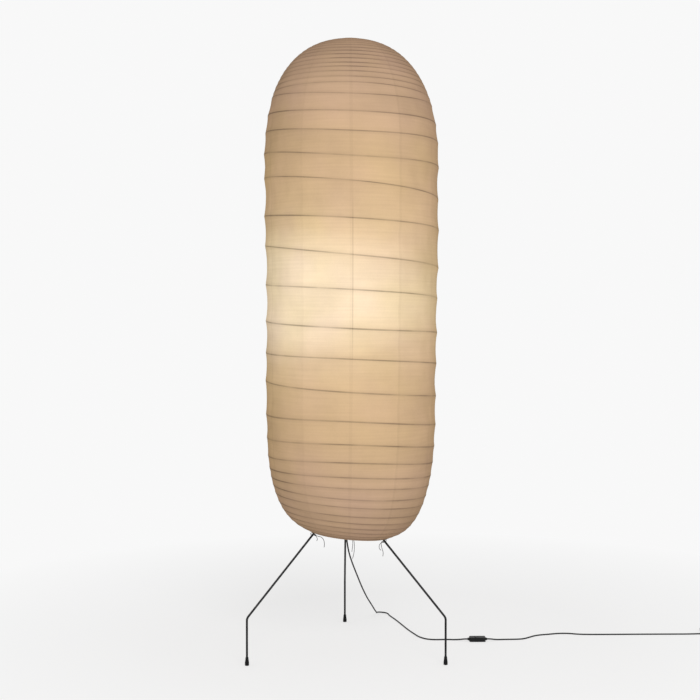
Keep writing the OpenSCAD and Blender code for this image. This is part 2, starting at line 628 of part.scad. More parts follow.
module wire_ring(r) rotate_extrude($fn = 128) translate([r, 0]) circle(d = ring_wire_d, $fn = 24);
module top_ring() color("#c8c8cc") on_mast() translate([0, 0, shade_top_z]) wire_ring(top_ring_r);
module top_spider() color("#c8c8cc") on_mast() {
    hub_z = eye_base_z + eye_h / 2;
    run = top_ring_r - eye_r - 1;
    rise = shade_top_z - hub_z;
    length = norm([run, rise]) - ring_wire_d / 2 - seat;
    difference() {
        union() {
            translate([0, 0, eye_base_z]) cylinder(r = eye_r + eye_wall, h = eye_h);
            for (i = [0:spoke_count - 1]) rotate([0, 0, 30 + 360 * i / spoke_count])
                translate([eye_r + 1, 0, hub_z]) rotate([0, atan2(run, rise), 0])
                    cylinder(d = ring_wire_d, h = length);
        }
        translate([0, 0, eye_base_z - 1]) cylinder(r = eye_r, h = eye_h + 2);
    }
}
module bottom_ring() color("#c8c8cc") translate([bottom_ring_x, 0, bottom_ring_z])
    rotate([0, ring_tilt, 0]) wire_ring(bottom_ring_r);

// Tie strings: each goes under a leg just inside the bottom ring, is knotted there, and hangs.
// Places are given along the leg towards the foot, sideways, and up from the leg's upper side.
function ring_reach(i) = let (
        c = cos(leg_azimuths[i]),
        b = bottom_ring_x * c,
        r = b + sqrt(b * b + bottom_ring_r * bottom_ring_r - bottom_ring_x * bottom_ring_x)
    ) r;
string_r = string_d / 2;
string_hold = leg_d / 2 + string_r + seat;
function leg_point(i, along, side, up) = let (
        reach = ring_reach(i) / sin(leg_lean) + along,
        r = reach * sin(leg_lean) + up * cos(leg_lean),
        a = leg_azimuths[i]
    ) [r * cos(a) - side * sin(a), r * sin(a) + side * cos(a),
        apex_z - reach * cos(leg_lean) + up * sin(leg_lean)];
module tie_wrap(i) tube(
    [for (a = [-40:52:220])
        leg_point(i, -5 + a / 90, string_hold * cos(a) * 1.12, -string_hold * sin(a) * 1.12)],
    string_r, 8, [0, 0, 1]
);
knot_r = 1.6;
knot_drop = string_hold * 1.12 + string_r + seat + knot_r;
function knot_place(i) = leg_point(i, -3.7, 0, -knot_drop);
module tie_knot(i) translate(knot_place(i)) sphere(r = knot_r);
// The loose end leaves the knot square to its surface. Its points are given from the knot.
module tie_tail(i, points) tube(
    concat([knot_place(i) + unit(points[0]) * (knot_r + seat)], [for (p = points) knot_place(i) + p]),
    string_r, 8, [0, 1, 0]
);
module tie_string_left() color("#3a3632") {
    tie_wrap(0);
    tie_knot(0);
    tie_tail(0, [[9, -1, -1.4], [20, -2, -5.4], [27, -2, -16.4], [29, -2, -28.4], [28, -2, -40.4]]);
}
module tie_string_right() color("#3a3632") {
    tie_wrap(1);
    tie_knot(1);
    tie_tail(1, [[-1, -3, -10.4], [1, -3, -22.4], [4, -2, -34.4], [2, -2, -46.4]]);
}
module tie_string_rear() color("#3a3632") {
    tie_wrap(2);
    tie_knot(2);
    tie_tail(2, [[14, 0, -4.4], [26, 0, -22.4], [30, 0, -52.4], [28, 0, -80.4], [23, 0, -102.4]]);
}

// Lead
module cord_upper() color("#202022") {
    echo(cord_upper_length = length_of(smooth(upper_route, 4)));
    tube(upper_route, lead_r, 8, [1, 0, 0]);
}
module cord_lower() color("#202022") {
    echo(cord_lower_length = length_of(smooth(lower_route, 4)));
    tube(lower_route, lead_r, 8, [0, 0, 1]);
}
coil_gap = min([for (i = [0:coil_steps]) for (j = [i + 16:coil_steps + 1])
    if (j <= coil_steps) norm(coil_point(j / ring_steps) - coil_point(i / ring_steps))]) - lead_d;
module cord_coil() color("#202022") {
    echo(least_gap_between_coil_turns = coil_gap, coil_length = length_of(coil_line));
    tube(coil_line, lead_r, 6, [0, 0, 1]);
}
module cord_tail() color("#202022") tube(tail_route, lead_r, 8, [0, 0, 1]);
module coil_tie() color("#2c2c30") {
    band_w = 7;
    band_t = 1;
    inner_low = coil_inner_r - lead_r - 0.9;
    inner_w = coil_r + lead_r - inner_low + 0.4;
    inner_h = layer_step + lead_d + 0.6;
    translate([coil_x - band_w / 2, coil_y + inner_low - band_t, 0]) difference() {
        cube([band_w, inner_w + 2 * band_t, inner_h + 2 * band_t]);
        translate([-1, band_t, band_t]) cube([band_w + 2, inner_w, inner_h]);
    }
}

// Switch
module switch_block(inset, low, high) {
    corner = 5 - inset;
    hull() for (x = [-1, 1], y = [-1, 1])
        translate([x * (switch_length / 2 - 5), y * (switch_w / 2 - 5), low])
            cylinder(r = corner, h = high - low, $fn = 32);
}
module at_switch() translate([switch_x, switch_y, 0]) children();
module switch_post_places() for (x = [-1, 1])
    translate([x * (switch_length / 2 - 8), -x * (switch_w / 2 - 6), 0]) children();
module lead_hole() translate([-switch_length, 0, switch_axis_z]) rotate([0, 90, 0])
    cylinder(r = lead_r + fit, h = 2 * switch_length);
module switch_base() color("#161618") at_switch() difference() {
    switch_block(0, 0, switch_axis_z);
    difference() {
        switch_block(switch_wall, switch_wall, switch_axis_z + 1);
        switch_post_places() cylinder(r = 3.4, h = switch_axis_z);
    }
    lead_hole();
    switch_post_places() {
        translate([0, 0, -1]) cylinder(r = 1.5, h = switch_h);
        translate([0, 0, -1]) cylinder(r = 2.9, h = 2.6);
    }
}
rocker_z = switch_h - 3.4;
rocker_pin_r = 1.4;
module switch_cover() color("#161618") at_switch() difference() {
    union() {
        difference() {
            switch_block(0, switch_axis_z, switch_h);
            switch_block(switch_wall, switch_axis_z - 1, switch_h - switch_wall);
        }
        intersection() {
            switch_block(0, switch_axis_z, switch_h);
            union() {
                switch_post_places() translate([0, 0, switch_axis_z]) cylinder(r = 3.4, h = switch_h);
                for (side = [-1, 1])
                    translate([-4, side * (rocker_w / 2 + 1.4) - 1.1, rocker_z - 2.6])
                        cube([8, 2.2, switch_h - rocker_z + 2.6]);
            }
        }
    }
    translate([-rocker_length / 2 - 0.3, -rocker_w / 2 - 0.3, switch_axis_z - 1])
        cube([rocker_length + 0.6, rocker_w + 0.6, switch_h]);
    translate([0, 0, rocker_z]) rotate([90, 0, 0])
        cylinder(r = rocker_pin_r + fit, h = rocker_w + 8, center = true);
    lead_hole();
    switch_post_places() translate([0, 0, switch_axis_z - 1]) cylinder(r = 1.2, h = 5.2);
}
// The rocker's top is two shallow slopes that meet over its pin; the rest state has one end down.
rocker_half_angle = 6;
module switch_rocker() color("#1d1d20") at_switch() translate([0, 0, rocker_z])
    rotate([0, rocker_half_angle, 0]) {
        rotate([90, 0, 0]) linear_extrude(height = rocker_w, center = true) polygon([
            [-rocker_length / 2 + 0.4, 4.2], [0, 2.9], [rocker_length / 2 - 0.4, 4.2],
            [rocker_length / 2 - 1, 0.6], [3, -2.4], [-3, -2.4], [-rocker_length / 2 + 1, 0.6]
        ]);
        rotate([90, 0, 0]) cylinder(r = rocker_pin_r, h = rocker_w + 4.4, center = true);
    }
module switch_terminals() color("#c9a551") at_switch() for (x = [-1, 1])
    translate([x * 12 - 3, -1.5, switch_wall]) difference() {
        cube([6, 3, 4]);
        translate([3, 4, 2]) rotate([90, 0, 0]) cylinder(r = 0.8, h = 6);
    }
module switch_leads() color("#202022") at_switch() for (x = [-1, 1])
    translate([x * (switch_length / 2 + collar_reach), 0, switch_axis_z]) rotate([0, -90 * x, 0])
        cylinder(r = lead_r, h = collar_reach + 9);
module switch_collars() color("#161618") at_switch() for (x = [-1, 1])
    translate([x * switch_length / 2, 0, switch_axis_z]) rotate([0, 90 * x, 0]) difference() {
        cylinder(r1 = lead_r + 2.6, r2 = lead_r + 1, h = collar_reach);
        translate([0, 0, -1]) cylinder(r = lead_r + fit, h = collar_reach + 2);
    }
module switch_screws() color("#77777c") at_switch() switch_post_places() {
    translate([0, 0, 0.4]) cylinder(r = 2.8, h = 1.2);
    translate([0, 0, 1.6]) cylinder(r = 1.15, h = switch_axis_z + 2);
}

// Plug
module plug_outline(h) {
    corner = 2.5;
    front = plug_w / 2 - corner;
    hull() {
        for (x = [-front, front])
            translate([x, plug_length - corner, 0]) cylinder(r = corner, h = h, $fn = 32);
        for (x = [-front, front]) translate([x, plug_length * 0.55, 0]) cylinder(r = corner, h = h, $fn = 32);
        for (x = [-5, 5]) translate([x, corner, 0]) cylinder(r = corner, h = h, $fn = 32);
    }
}
module pin_places() for (x = [-1, 1])
    translate([plug_x + x * pin_spacing / 2, plug_front_y, plug_axis_z]) rotate([-90, 0, 0]) children();
module plug_body() color("#161618") difference() {
    translate([plug_x, plug_back_y, 0]) plug_outline(plug_t);
    pin_places() translate([0, 0, -pin_root]) cylinder(r = pin_root_r + fit, h = pin_root + 1);
}
module plug_pins() color("#c8c8cc") pin_places() rotate_extrude() polygon([
    [0, seat - pin_root], [pin_root_r, seat - pin_root], [pin_root_r, seat], [pin_d / 2, seat],
    [pin_d / 2, pin_length - 1], [pin_d / 2 - 1, pin_length], [0, pin_length]
]);
module plug_relief() color("#161618") translate([plug_x, relief_y, plug_axis_z]) rotate([-90, 0, 0])
    cylinder(r1 = lead_r + 0.8, r2 = lead_r + 3, h = relief_length);

for (i = [0:2]) foot(i);
for (i = [0:2]) leg(i);
leg_hub();
leg_set_screws();
socket_screw();
mast_lower();
holder_bracket();
bracket_set_screws();
mast_upper();
mast_collar();
collar_screw();
cord_grip();
inner_lead();
holder_nipple();
nipple_nut();
holder_cap();
holder_barrel();
holder_insert();
screw_shell();
centre_contact();
holder_terminals();
bulb_glass();
bulb_cap();
bulb_insulator();
bulb_contact();
paper_shade();
rib_spiral();
spacing_threads();
top_ring();
top_spider();
bottom_ring();
tie_string_left();
tie_string_right();
tie_string_rear();
cord_upper();
switch_base();
switch_cover();
switch_rocker();
switch_terminals();
switch_leads();
switch_collars();
switch_screws();
cord_lower();
cord_coil();
coil_tie();
cord_tail();
plug_body();
plug_relief();
plug_pins();
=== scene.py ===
# %% [markdown]
# # A paper lantern floor lamp
# The lamp is a tall shade of pale paper over one long spiral rib, stretched between the tip of a
# slim mast and a tripod of bent rods. Its rigid parts come from the CAD model, which is loaded as
# a fixed frame. This script makes what CAD does badly: the paper, the rib seen through it, the
# threads and strings, and the lead, and it gives every surface its finish.
# All sizes are in metres, with Z up and the floor at Z = 0.

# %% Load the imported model
import math
import bmesh
import bpy
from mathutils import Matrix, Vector, noise


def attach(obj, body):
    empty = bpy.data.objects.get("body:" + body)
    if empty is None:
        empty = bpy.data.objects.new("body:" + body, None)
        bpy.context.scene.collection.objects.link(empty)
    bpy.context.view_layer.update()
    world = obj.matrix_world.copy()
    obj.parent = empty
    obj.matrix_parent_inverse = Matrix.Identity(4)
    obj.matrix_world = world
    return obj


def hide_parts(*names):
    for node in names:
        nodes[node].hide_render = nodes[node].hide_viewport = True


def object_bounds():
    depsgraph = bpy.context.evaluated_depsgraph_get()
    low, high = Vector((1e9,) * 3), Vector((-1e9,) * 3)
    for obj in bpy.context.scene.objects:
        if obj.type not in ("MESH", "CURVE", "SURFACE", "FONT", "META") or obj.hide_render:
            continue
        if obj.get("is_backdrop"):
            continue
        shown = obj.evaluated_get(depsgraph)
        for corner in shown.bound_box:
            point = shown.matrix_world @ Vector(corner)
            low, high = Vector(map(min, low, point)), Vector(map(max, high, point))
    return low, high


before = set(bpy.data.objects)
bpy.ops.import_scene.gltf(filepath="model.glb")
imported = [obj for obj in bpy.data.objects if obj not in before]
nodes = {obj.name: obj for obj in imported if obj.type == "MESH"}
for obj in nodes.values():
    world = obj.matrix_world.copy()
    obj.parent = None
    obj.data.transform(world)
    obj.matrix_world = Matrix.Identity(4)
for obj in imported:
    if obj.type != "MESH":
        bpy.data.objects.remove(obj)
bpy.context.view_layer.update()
scene = bpy.context.scene

# %% [markdown]
# ## Camera
# The photograph was taken from a little below the shade's middle, by a camera that looks slightly
# down. Its distance follows from the three feet: the rear one stands further up in the picture.
# Its height shows in the shade: the turns of the rib arch up above that height and sag below it.
# A wider lens from nearer by would arch them more than the photograph does.

# %% Camera
camera_turn = math.radians(-0.76)
camera_data = bpy.data.cameras.new("camera")
focal_pixels, picture_pixels = 1193.4, 700
camera_data.sensor_width = 36
camera_data.lens = camera_data.sensor_width * focal_pixels / picture_pixels
camera = bpy.data.objects.new("camera", camera_data)
camera.location = (-0.0367, -3.7605, 1.04)
camera.rotation_euler = (math.radians(90 - 1.38), 0, camera_turn)
scene.collection.objects.link(camera)
scene.camera = camera

# %% [markdown]
# ## One helper for nodes, one for colours
# Every material and every Geometry Nodes tree below is made of the same two steps: add a node,
# and connect or set its inputs. One helper does both. An input can be given as a value, as a
# socket, or as a whole node, which then stands for its first output. Map Range nodes are given by
# their inputs' numbers: 0 the value, 1 and 2 the range it comes from, 3 and 4 the range it goes to.
# Colours are written as in a paint program, in sRGB, and Blender works in linear light, so one
# function turns one into the other.

# %% Helpers for nodes and colours
def add(tree, kind, inputs=None, **settings):
    """Adds a node and returns it, with its settings made and its inputs set or linked."""
    node = tree.nodes.new(kind)
    for name, value in settings.items():
        setattr(node, name, value)
    for key, value in (inputs or {}).items():
        if isinstance(value, bpy.types.Node):
            value = value.outputs[0]
        if isinstance(value, bpy.types.NodeSocket):
            tree.links.new(value, node.inputs[key])
        else:
            node.inputs[key].default_value = value
    return node


def colour(code):
    """Linear red, green, blue and alpha of an sRGB code such as #a58b74."""
    parts = [int(code[i:i + 2], 16) / 255 for i in (1, 3, 5)]
    return (*[c / 12.92 if c <= 0.04045 else ((c + 0.055) / 1.055) ** 2.4 for c in parts], 1.0)


print("helpers ready: add, colour")

# %% [markdown]
# ## Sweeping a round section along a path
# The rib, the threads, the strings and the lead are all a round section carried along a line.
# A curve's bevel could do that, but a Geometry Nodes tree gives named sizes that can be changed
# later, and it ends in a plain mesh, which is what the other tools want. The tree is made once
# and used by every such piece.

# %% A Geometry Nodes tree for round rods
def new_tree(name, floats):
    """A tree with a geometry, some named sizes and a finish as its inputs."""
    tree = bpy.data.node_groups.new(name, "GeometryNodeTree")
    tree.interface.new_socket("Geometry", in_out="INPUT", socket_type="NodeSocketGeometry")
    for label, default in floats.items():
        kind = "NodeSocketInt" if isinstance(default, int) else "NodeSocketFloat"
        tree.interface.new_socket(label, in_out="INPUT", socket_type=kind).default_value = default
    tree.interface.new_socket("Finish", in_out="INPUT", socket_type="NodeSocketMaterial")
    tree.interface.new_socket("Geometry", in_out="OUTPUT", socket_type="NodeSocketGeometry")
    return tree, add(tree, "NodeGroupInput"), add(tree, "NodeGroupOutput")


rod_tree, start, end = new_tree("rod along a path", {"Radius": 0.001, "Sides": 8})
section = add(rod_tree, "GeometryNodeCurvePrimitiveCircle", {
    "Radius": start.outputs["Radius"], "Resolution": start.outputs["Sides"]})
swept = add(rod_tree, "GeometryNodeCurveToMesh", {
    "Curve": start.outputs["Geometry"], "Profile Curve": section, "Fill Caps": True})
smooth = add(rod_tree, "GeometryNodeSetShadeSmooth", {"Geometry": swept})
plain = add(rod_tree, "GeometryNodeRealizeInstances", {"Geometry": smooth})
finished = add(rod_tree, "GeometryNodeSetMaterial", {
    "Geometry": plain, "Material": start.outputs["Finish"]})
rod_tree.links.new(finished.outputs["Geometry"], end.inputs["Geometry"])


def line_object(name, points):
    data = bpy.data.curves.new(name + "_line", "CURVE")
    data.dimensions = "3D"
    spline = data.splines.new("POLY")
    spline.points.add(len(points) - 1)
    for point, place in zip(spline.points, points):
        point.co = (*place, 1)
    line = bpy.data.objects.new(name + "_line", data)
    scene.collection.objects.link(line)
    return line


def run_tree(source, tree, name, values):
    """Runs a Geometry Nodes tree on an object and keeps the result as a plain mesh object."""
    modifier = source.modifiers.new("nodes", "NODES")
    modifier.node_group = tree
    for item in tree.interface.items_tree:
        if item.in_out == "INPUT" and item.name in values:
            modifier[item.identifier] = values[item.name]
    source.update_tag()
    graph = bpy.context.evaluated_depsgraph_get()
    mesh = bpy.data.meshes.new_from_object(source.evaluated_get(graph))
    mesh.name = name
    source.modifiers.remove(modifier)
    bpy.data.objects.remove(source)
    piece = bpy.data.objects.new(name, mesh)
    scene.collection.objects.link(piece)
    return piece


def rod(name, points, radius, sides, finish):
    piece = run_tree(line_object(name, points), rod_tree, name,
                     {"Radius": radius, "Sides": sides, "Finish": finish})
    print(name, len(piece.data.polygons), "faces")
    return piece


# %% [markdown]
# ## Smooth routes
# The lead's route is given as a few points, which are also in the CAD model. A
# Catmull-Rom curve goes through all of them without a kink, so the lead bends as a real one does.

# %% Smooth a route and measure it
def smooth_route(points, steps):
    points = [Vector(p) for p in points]
    last = len(points) - 1
    route = []
    for i in range(last):
        p0, p1 = points[max(i - 1, 0)], points[i]
        p2, p3 = points[i + 1], points[min(i + 2, last)]
        for j in range(steps):
            t = j / steps
            route.append(0.5 * (2 * p1 + (p2 - p0) * t + (2 * p0 - 5 * p1 + 4 * p2 - p3) * t * t
                                + (3 * p1 - p0 - 3 * p2 + p3) * t ** 3))
    return route + [points[last]]


def length_of(route):
    return sum((b - a).length for a, b in zip(route, route[1:]))


# %% [markdown]
# ## Rubber, plastic and painted steel
# The stand is thin black rod. Powder paint on steel is never one flat black: it has a fine
# orange-peel skin, its gloss varies a little, and dust lightens it. Each black below has its own
# scale of grain, because rubber, moulded plastic and paint differ in just that.

# %% A finish made of a base colour, a grain and a gloss
def finish(name, dark, light, rough, grain, bump, metallic=0.0, stretch=(1, 1, 1), shine=0.5):
    """Colour and gloss vary with a noise. Its grain and its bump are in metres: 0.0009 is 0.9 mm."""
    made = bpy.data.materials.new(name)
    made.use_nodes = True
    tree = made.node_tree
    tree.nodes.clear()
    place = add(tree, "ShaderNodeTexCoord").outputs["Object"]
    pattern = add(tree, "ShaderNodeMapping", {"Vector": place, "Scale": stretch})
    fine = add(tree, "ShaderNodeTexNoise", {
        "Vector": pattern, "Scale": 1 / grain, "Detail": 4.0, "Roughness": 0.6})
    broad = add(tree, "ShaderNodeTexNoise", {
        "Vector": pattern, "Scale": 0.06 / grain, "Detail": 2.0})
    worn = add(tree, "ShaderNodeMapRange", {0: broad, 1: 0.3, 2: 0.7, 3: 0.0, 4: 1.0})
    tint = add(tree, "ShaderNodeMix", {0: worn, 6: colour(dark), 7: colour(light)},
               data_type="RGBA").outputs[2]
    gloss = add(tree, "ShaderNodeMapRange", {
        0: fine, 1: 0.2, 2: 0.8, 3: rough - 0.06, 4: rough + 0.08})
    relief = add(tree, "ShaderNodeBump", {"Height": fine, "Strength": 0.6, "Distance": bump})
    surface = add(tree, "ShaderNodeBsdfPrincipled", {
        "Base Color": tint, "Metallic": metallic, "Normal": relief, "Roughness": gloss,
        "Specular IOR Level": shine})
    add(tree, "ShaderNodeOutputMaterial", {"Surface": surface})
    return made


# %% Finishes of the stand, the holder, the switch and the plug
# Blacks: the paint is half gloss with an orange-peel skin, the rubber dull and coarse, the soft
# vinyl smooth, and the moulded plastic has a fine spark-eroded grain. All reflect less than a clear
# plastic does, because dust and grain break the reflection up.
black_paint = finish("powder-coated steel", "#0e0e0f", "#171718", 0.42, 0.0009, 0.00006, shine=0.25)
foot_rubber = finish("foot rubber", "#0d0d0e", "#151516", 0.78, 0.0012, 0.00012, shine=0.2)
lead_skin = finish("lead skin, soft vinyl", "#0d0d0e", "#161617", 0.5, 0.0016, 0.00005, shine=0.25)
moulded_black = finish("moulded black plastic", "#0b0b0c", "#131315", 0.5, 0.0007, 0.00005, shine=0.25)
# The old-fashioned holder: a brown-black moulding with a polish, and a wet-looking white glaze.
holder_black = finish("phenolic moulding", "#171513", "#221e1a", 0.3, 0.002, 0.00002)
porcelain = finish("glazed porcelain", "#e4e0d6", "#efece4", 0.14, 0.006, 0.00003)
# Metals: plating and drawn wire differ in tint and in how sharp they mirror the room.
zinc_steel = finish("zinc-plated steel", "#8f9091", "#b3b4b4", 0.36, 0.0015, 0.00003, metallic=1.0)
ring_wire = finish("drawn steel wire", "#9a9894", "#b9b7b2", 0.34, 0.0008, 0.00003, metallic=1.0)
lamp_brass = finish("lamp-holder brass", "#b8924a", "#cfae66", 0.33, 0.0018, 0.00003, metallic=1.0)
nickel = finish("nickel plate", "#b9b6ae", "#d0cdc6", 0.24, 0.0012, 0.00002, metallic=1.0)
# Fibres: bamboo's grain runs along the strip, cotton and string are matt and fuzzy.
bamboo = finish("split bamboo rib", "#8a6a42", "#ab8a5a", 0.55, 0.003, 0.00012, stretch=(1, 1, 3))
thread_cotton = finish("cotton spacing thread", "#b09a78", "#cbb795", 0.85, 0.0006, 0.00012)
string_dark = finish("dark tie string", "#161412", "#242019", 0.85, 0.0007, 0.00015)
# The bulb's glass glows by itself, evenly and warm, under a glassy skin.
bulb_opal = finish("lit opal glass", "#cbb994", "#d5c4a1", 0.22, 0.01, 0.00001)
for node in bulb_opal.node_tree.nodes:
    if node.type == "BSDF_PRINCIPLED":
        node.inputs["Emission Color"].default_value = colour("#ffe3b4")
        node.inputs["Emission Strength"].default_value = 0.5

node_finishes = {
    black_paint: "leg_left leg_right leg_rear leg_hub mast_lower mast_upper holder_bracket mast_collar",
    foot_rubber: "foot_left foot_right foot_rear cord_grip",
    zinc_steel: "leg_set_screws socket_screw bracket_set_screws collar_screw holder_nipple "
                "nipple_nut switch_screws",
    ring_wire: "top_ring top_spider bottom_ring",
    holder_black: "holder_cap holder_barrel bulb_insulator",
    porcelain: "holder_insert",
    lamp_brass: "screw_shell centre_contact holder_terminals switch_terminals",
    nickel: "bulb_cap bulb_contact plug_pins",
    bulb_opal: "bulb_glass",
    lead_skin: "inner_lead switch_leads",
    moulded_black: "switch_base switch_cover switch_rocker switch_collars coil_tie plug_body plug_relief",
}
for made, names in node_finishes.items():
    for name in names.split():
        for slot in nodes[name].material_slots:
            slot.material = made
print("finished", sum(len(n.split()) for n in node_finishes.values()), "CAD nodes")

# %% [markdown]
# ## The lead
# The lead leaves the hub straight down, falls behind the tripod, turns on the floor and comes
# forward to the switch on the right. What the photograph doesn't show is wound into a coil and
# ends in the plug. The points, in metres, are the CAD model's, but for a few millimetres more
# height where the lead comes down to the floor, so that it lands gently.

# %% Route of the lead from the hub to the switch
lead_r = 0.0023
knee_z, knee_circle_r, lean = 0.143, 0.347, math.radians(44.35)
apex_z = knee_z + knee_circle_r / math.tan(lean)
hub_below_apex, grip_below_hub = 0.042, 0.036
exit_z = apex_z - hub_below_apex - grip_below_hub
upper_points = [
    (0, 0, exit_z), (0, 0, exit_z - 0.02), (0.001, 0.003, exit_z - 0.045),
    (0.004, 0.012, 0.34), (0.011, 0.03, 0.3), (0.022, 0.056, 0.262), (0.04, 0.104, 0.208),
    (0.056, 0.16, 0.16), (0.073, 0.224, 0.114), (0.09, 0.295, 0.073), (0.103, 0.36, 0.0395),
    (0.11, 0.405, 0.0205), (0.1125, 0.4255, 0.0128), (0.1135, 0.4405, 0.0088),
    (0.1163, 0.451, 0.0074), (0.124, 0.4587, 0.006), (0.1345, 0.4615, 0.0046),
    (0.145, 0.4587, 0.0036), (0.1527, 0.451, 0.0028), (0.1555, 0.4405, 0.0024),
    (0.1595, 0.42, lead_r), (0.176, 0.366, lead_r), (0.194, 0.298, lead_r),
    (0.211, 0.232, lead_r), (0.23, 0.172, lead_r), (0.244, 0.136, lead_r),
    (0.264, 0.112, lead_r), (0.29, 0.103, lead_r), (0.325, 0.104, lead_r),
    (0.35, 0.102, lead_r), (0.37, 0.096, 0.0044), (0.386, 0.092, 0.0068), (0.3965, 0.092, 0.007),
]
upper_route = [Vector((x, y, max(z, lead_r))) for x, y, z in smooth_route(upper_points, 6)]
print("hub to switch:", round(length_of(upper_route), 3), "m")

# %% Route of the lead from the switch to the plug
coil_x, coil_y, coil_r, coil_low_z = 1.222, 0.195, 0.0345, lead_r + 0.0013
coil_turns, coil_pitch, layer_step, climb_dip, steps_per_turn = 6.25, 0.0051, 0.0051, 0.001, 48
one_way = (coil_turns - 0.5) / 2
inner_r = coil_r - coil_pitch * one_way
lower_points = [
    (0.4605, 0.092, 0.007), (0.4705, 0.092, 0.0068), (0.486, 0.095, 0.0044),
    (0.506, 0.101, lead_r), (0.535, 0.103, lead_r), (0.565, 0.105, lead_r),
    (0.585, 0.112, lead_r), (0.604, 0.128, lead_r), (0.622, 0.144, lead_r),
    (0.644, 0.156, lead_r), (0.676, 0.165, lead_r), (0.708, 0.174, lead_r),
    (0.74, 0.174, lead_r), (0.77, 0.165, lead_r), (0.8, 0.161, lead_r), (0.86, 0.16, lead_r),
    (1.0, 0.161, lead_r), (1.12, 0.161, lead_r), (1.19, 0.1605, coil_low_z),
    (1.208, 0.1605, coil_low_z), (1.214, 0.1605, coil_low_z),
]


def coil_place(turn):
    """In to the middle on the lower layer, up, and out again on the upper one."""
    if turn < one_way:
        radius = coil_r - coil_pitch * turn
    elif turn < one_way + 0.5:
        radius = inner_r - climb_dip * math.sin(2 * math.pi * (turn - one_way))
    else:
        radius = inner_r + coil_pitch * (turn - one_way - 0.5)
    z = coil_low_z + layer_step * min(1, max(0, (turn - one_way) * 2))
    angle = 2 * math.pi * turn - math.pi / 2
    return Vector((coil_x + radius * math.cos(angle), coil_y + radius * math.sin(angle), z))


tail_points = [
    (1.2565, 0.203, coil_low_z + layer_step), (1.2565, 0.209, coil_low_z + layer_step - 0.0003),
    (1.2565, 0.217, 0.0071), (1.2565, 0.223, 0.0069),
]
coil_steps = round(coil_turns * steps_per_turn)
lower_route = ([Vector((x, y, max(z, lead_r))) for x, y, z in smooth_route(lower_points, 6)]
               + [coil_place(i / steps_per_turn) for i in range(coil_steps + 1)]
               + smooth_route(tail_points, 3))
print("switch to plug:", round(length_of(lower_route), 3), "m")

# %% Make both lengths of lead
lead_upper = rod("lead_upper", upper_route, lead_r, 14, lead_skin)
lead_lower = rod("lead_lower", lower_route, lead_r, 12, lead_skin)
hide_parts("cord_upper")
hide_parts("cord_lower", "cord_coil", "cord_tail")
for piece in (lead_upper, lead_lower):
    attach(piece, "stand")

# %% [markdown]
# ## The shade's outline
# The shade is a turned form: a radius for each height, bulging to 275 mm at the middle. Its upper
# dome and its lower end are squared ellipses. The middle line isn't straight: it starts on the
# leaning mast's tip and ends in the middle of the tilted bottom ring, so a turned mesh would be
# wrong. Each point is therefore placed by its distance down the outline and its direction.

# %% Outline of the shade
shade_top, shade_r, low_r, dome_z, bowl_z = 1.914, 0.2745, 0.269, 1.515, 0.950
dome_power, bowl_power = 2.44, 3.8
top_ring_r, bottom_ring_r, ring_tilt, mast_lean = 0.050, 0.129, math.radians(5.2), math.radians(0.6)
slope = 1 / math.tan(lean)
ring_x = bottom_ring_r * math.sin(ring_tilt) / slope
wire_and_rod_r = 0.00505
ring_z = apex_z + wire_and_rod_r / math.sin(lean) - slope * bottom_ring_r * math.cos(ring_tilt)
over_ring = 0.0024
fineness = 160


def ellipse_end(rim, radius, height, power):
    """Full height of a squared ellipse that is cut off at a rim, and the angle of the cut."""
    tall = height / (1 - (rim / radius) ** power) ** (1 / power)
    return tall, math.acos((rim / radius) ** (power / 2))


dome_h, dome_end = ellipse_end(top_ring_r + over_ring, shade_r, shade_top - dome_z, dome_power)
bowl_h, bowl_end = ellipse_end(bottom_ring_r + over_ring, low_r, bowl_z - ring_z, bowl_power)
outline = []
for i in range(fineness, -1, -1):
    a = dome_end * i / fineness
    outline.append(Vector((shade_r * math.cos(a) ** (2 / dome_power),
                           dome_z + dome_h * math.sin(a) ** (2 / dome_power))))
for i in range(fineness + 1):
    a = bowl_end * i / fineness
    outline.append(Vector((low_r * math.cos(a) ** (2 / bowl_power),
                           bowl_z - bowl_h * math.sin(a) ** (2 / bowl_power))))
along = [0.0]
for a, b in zip(outline, outline[1:]):
    along.append(along[-1] + (b - a).length)
outline_length = along[-1]
print("outline of the shade:", round(outline_length, 3), "m")


def outline_at(s):
    s = min(max(s, 0.0), outline_length)
    low, high = 0, len(along) - 1
    while high - low > 1:
        middle = (low + high) // 2
        if along[middle] <= s:
            low = middle
        else:
            high = middle
    share = (s - along[low]) / (along[high] - along[low])
    return outline[low].lerp(outline[high], share)


def outward_at(s):
    """Direction away from the middle line, square to the outline."""
    down = (outline_at(s + 0.004) - outline_at(s - 0.004)).normalized()
    return Vector((-down[1], down[0]))


# %% From the outline into space
top_ring_x = (shade_top - apex_z) * math.sin(mast_lean)
tilting_height, unevenness, bow = 0.330, 0.0032, 0.005


def fall(z):
    """Tilt of a turn: the mast's lean high up, the bottom ring's tilt at the low end."""
    low = min(1, max(0, 1 - (z - ring_z) / tilting_height))
    return math.tan(mast_lean) + (math.tan(ring_tilt) - math.tan(mast_lean)) * low ** 1.5


def in_space(point, azimuth):
    """A point of the outline in a direction, with a hand-made shade's unevenness of 3 mm."""
    r, z = point
    share = (z - ring_z) / (shade_top - ring_z)
    uneven = noise.noise(Vector((1.6 * math.cos(azimuth), 1.6 * math.sin(azimuth), 7 * z)))
    r += unevenness * uneven * min(1, 4 * min(max(share, 0), max(1 - share, 0)))
    middle = ring_x + (top_ring_x - ring_x) * share
    middle += bow * math.sin(math.pi * min(1, max(0, share)))
    return Vector((middle + r * math.cos(azimuth), r * math.sin(azimuth),
                   z - fall(z) * r * math.cos(azimuth)))


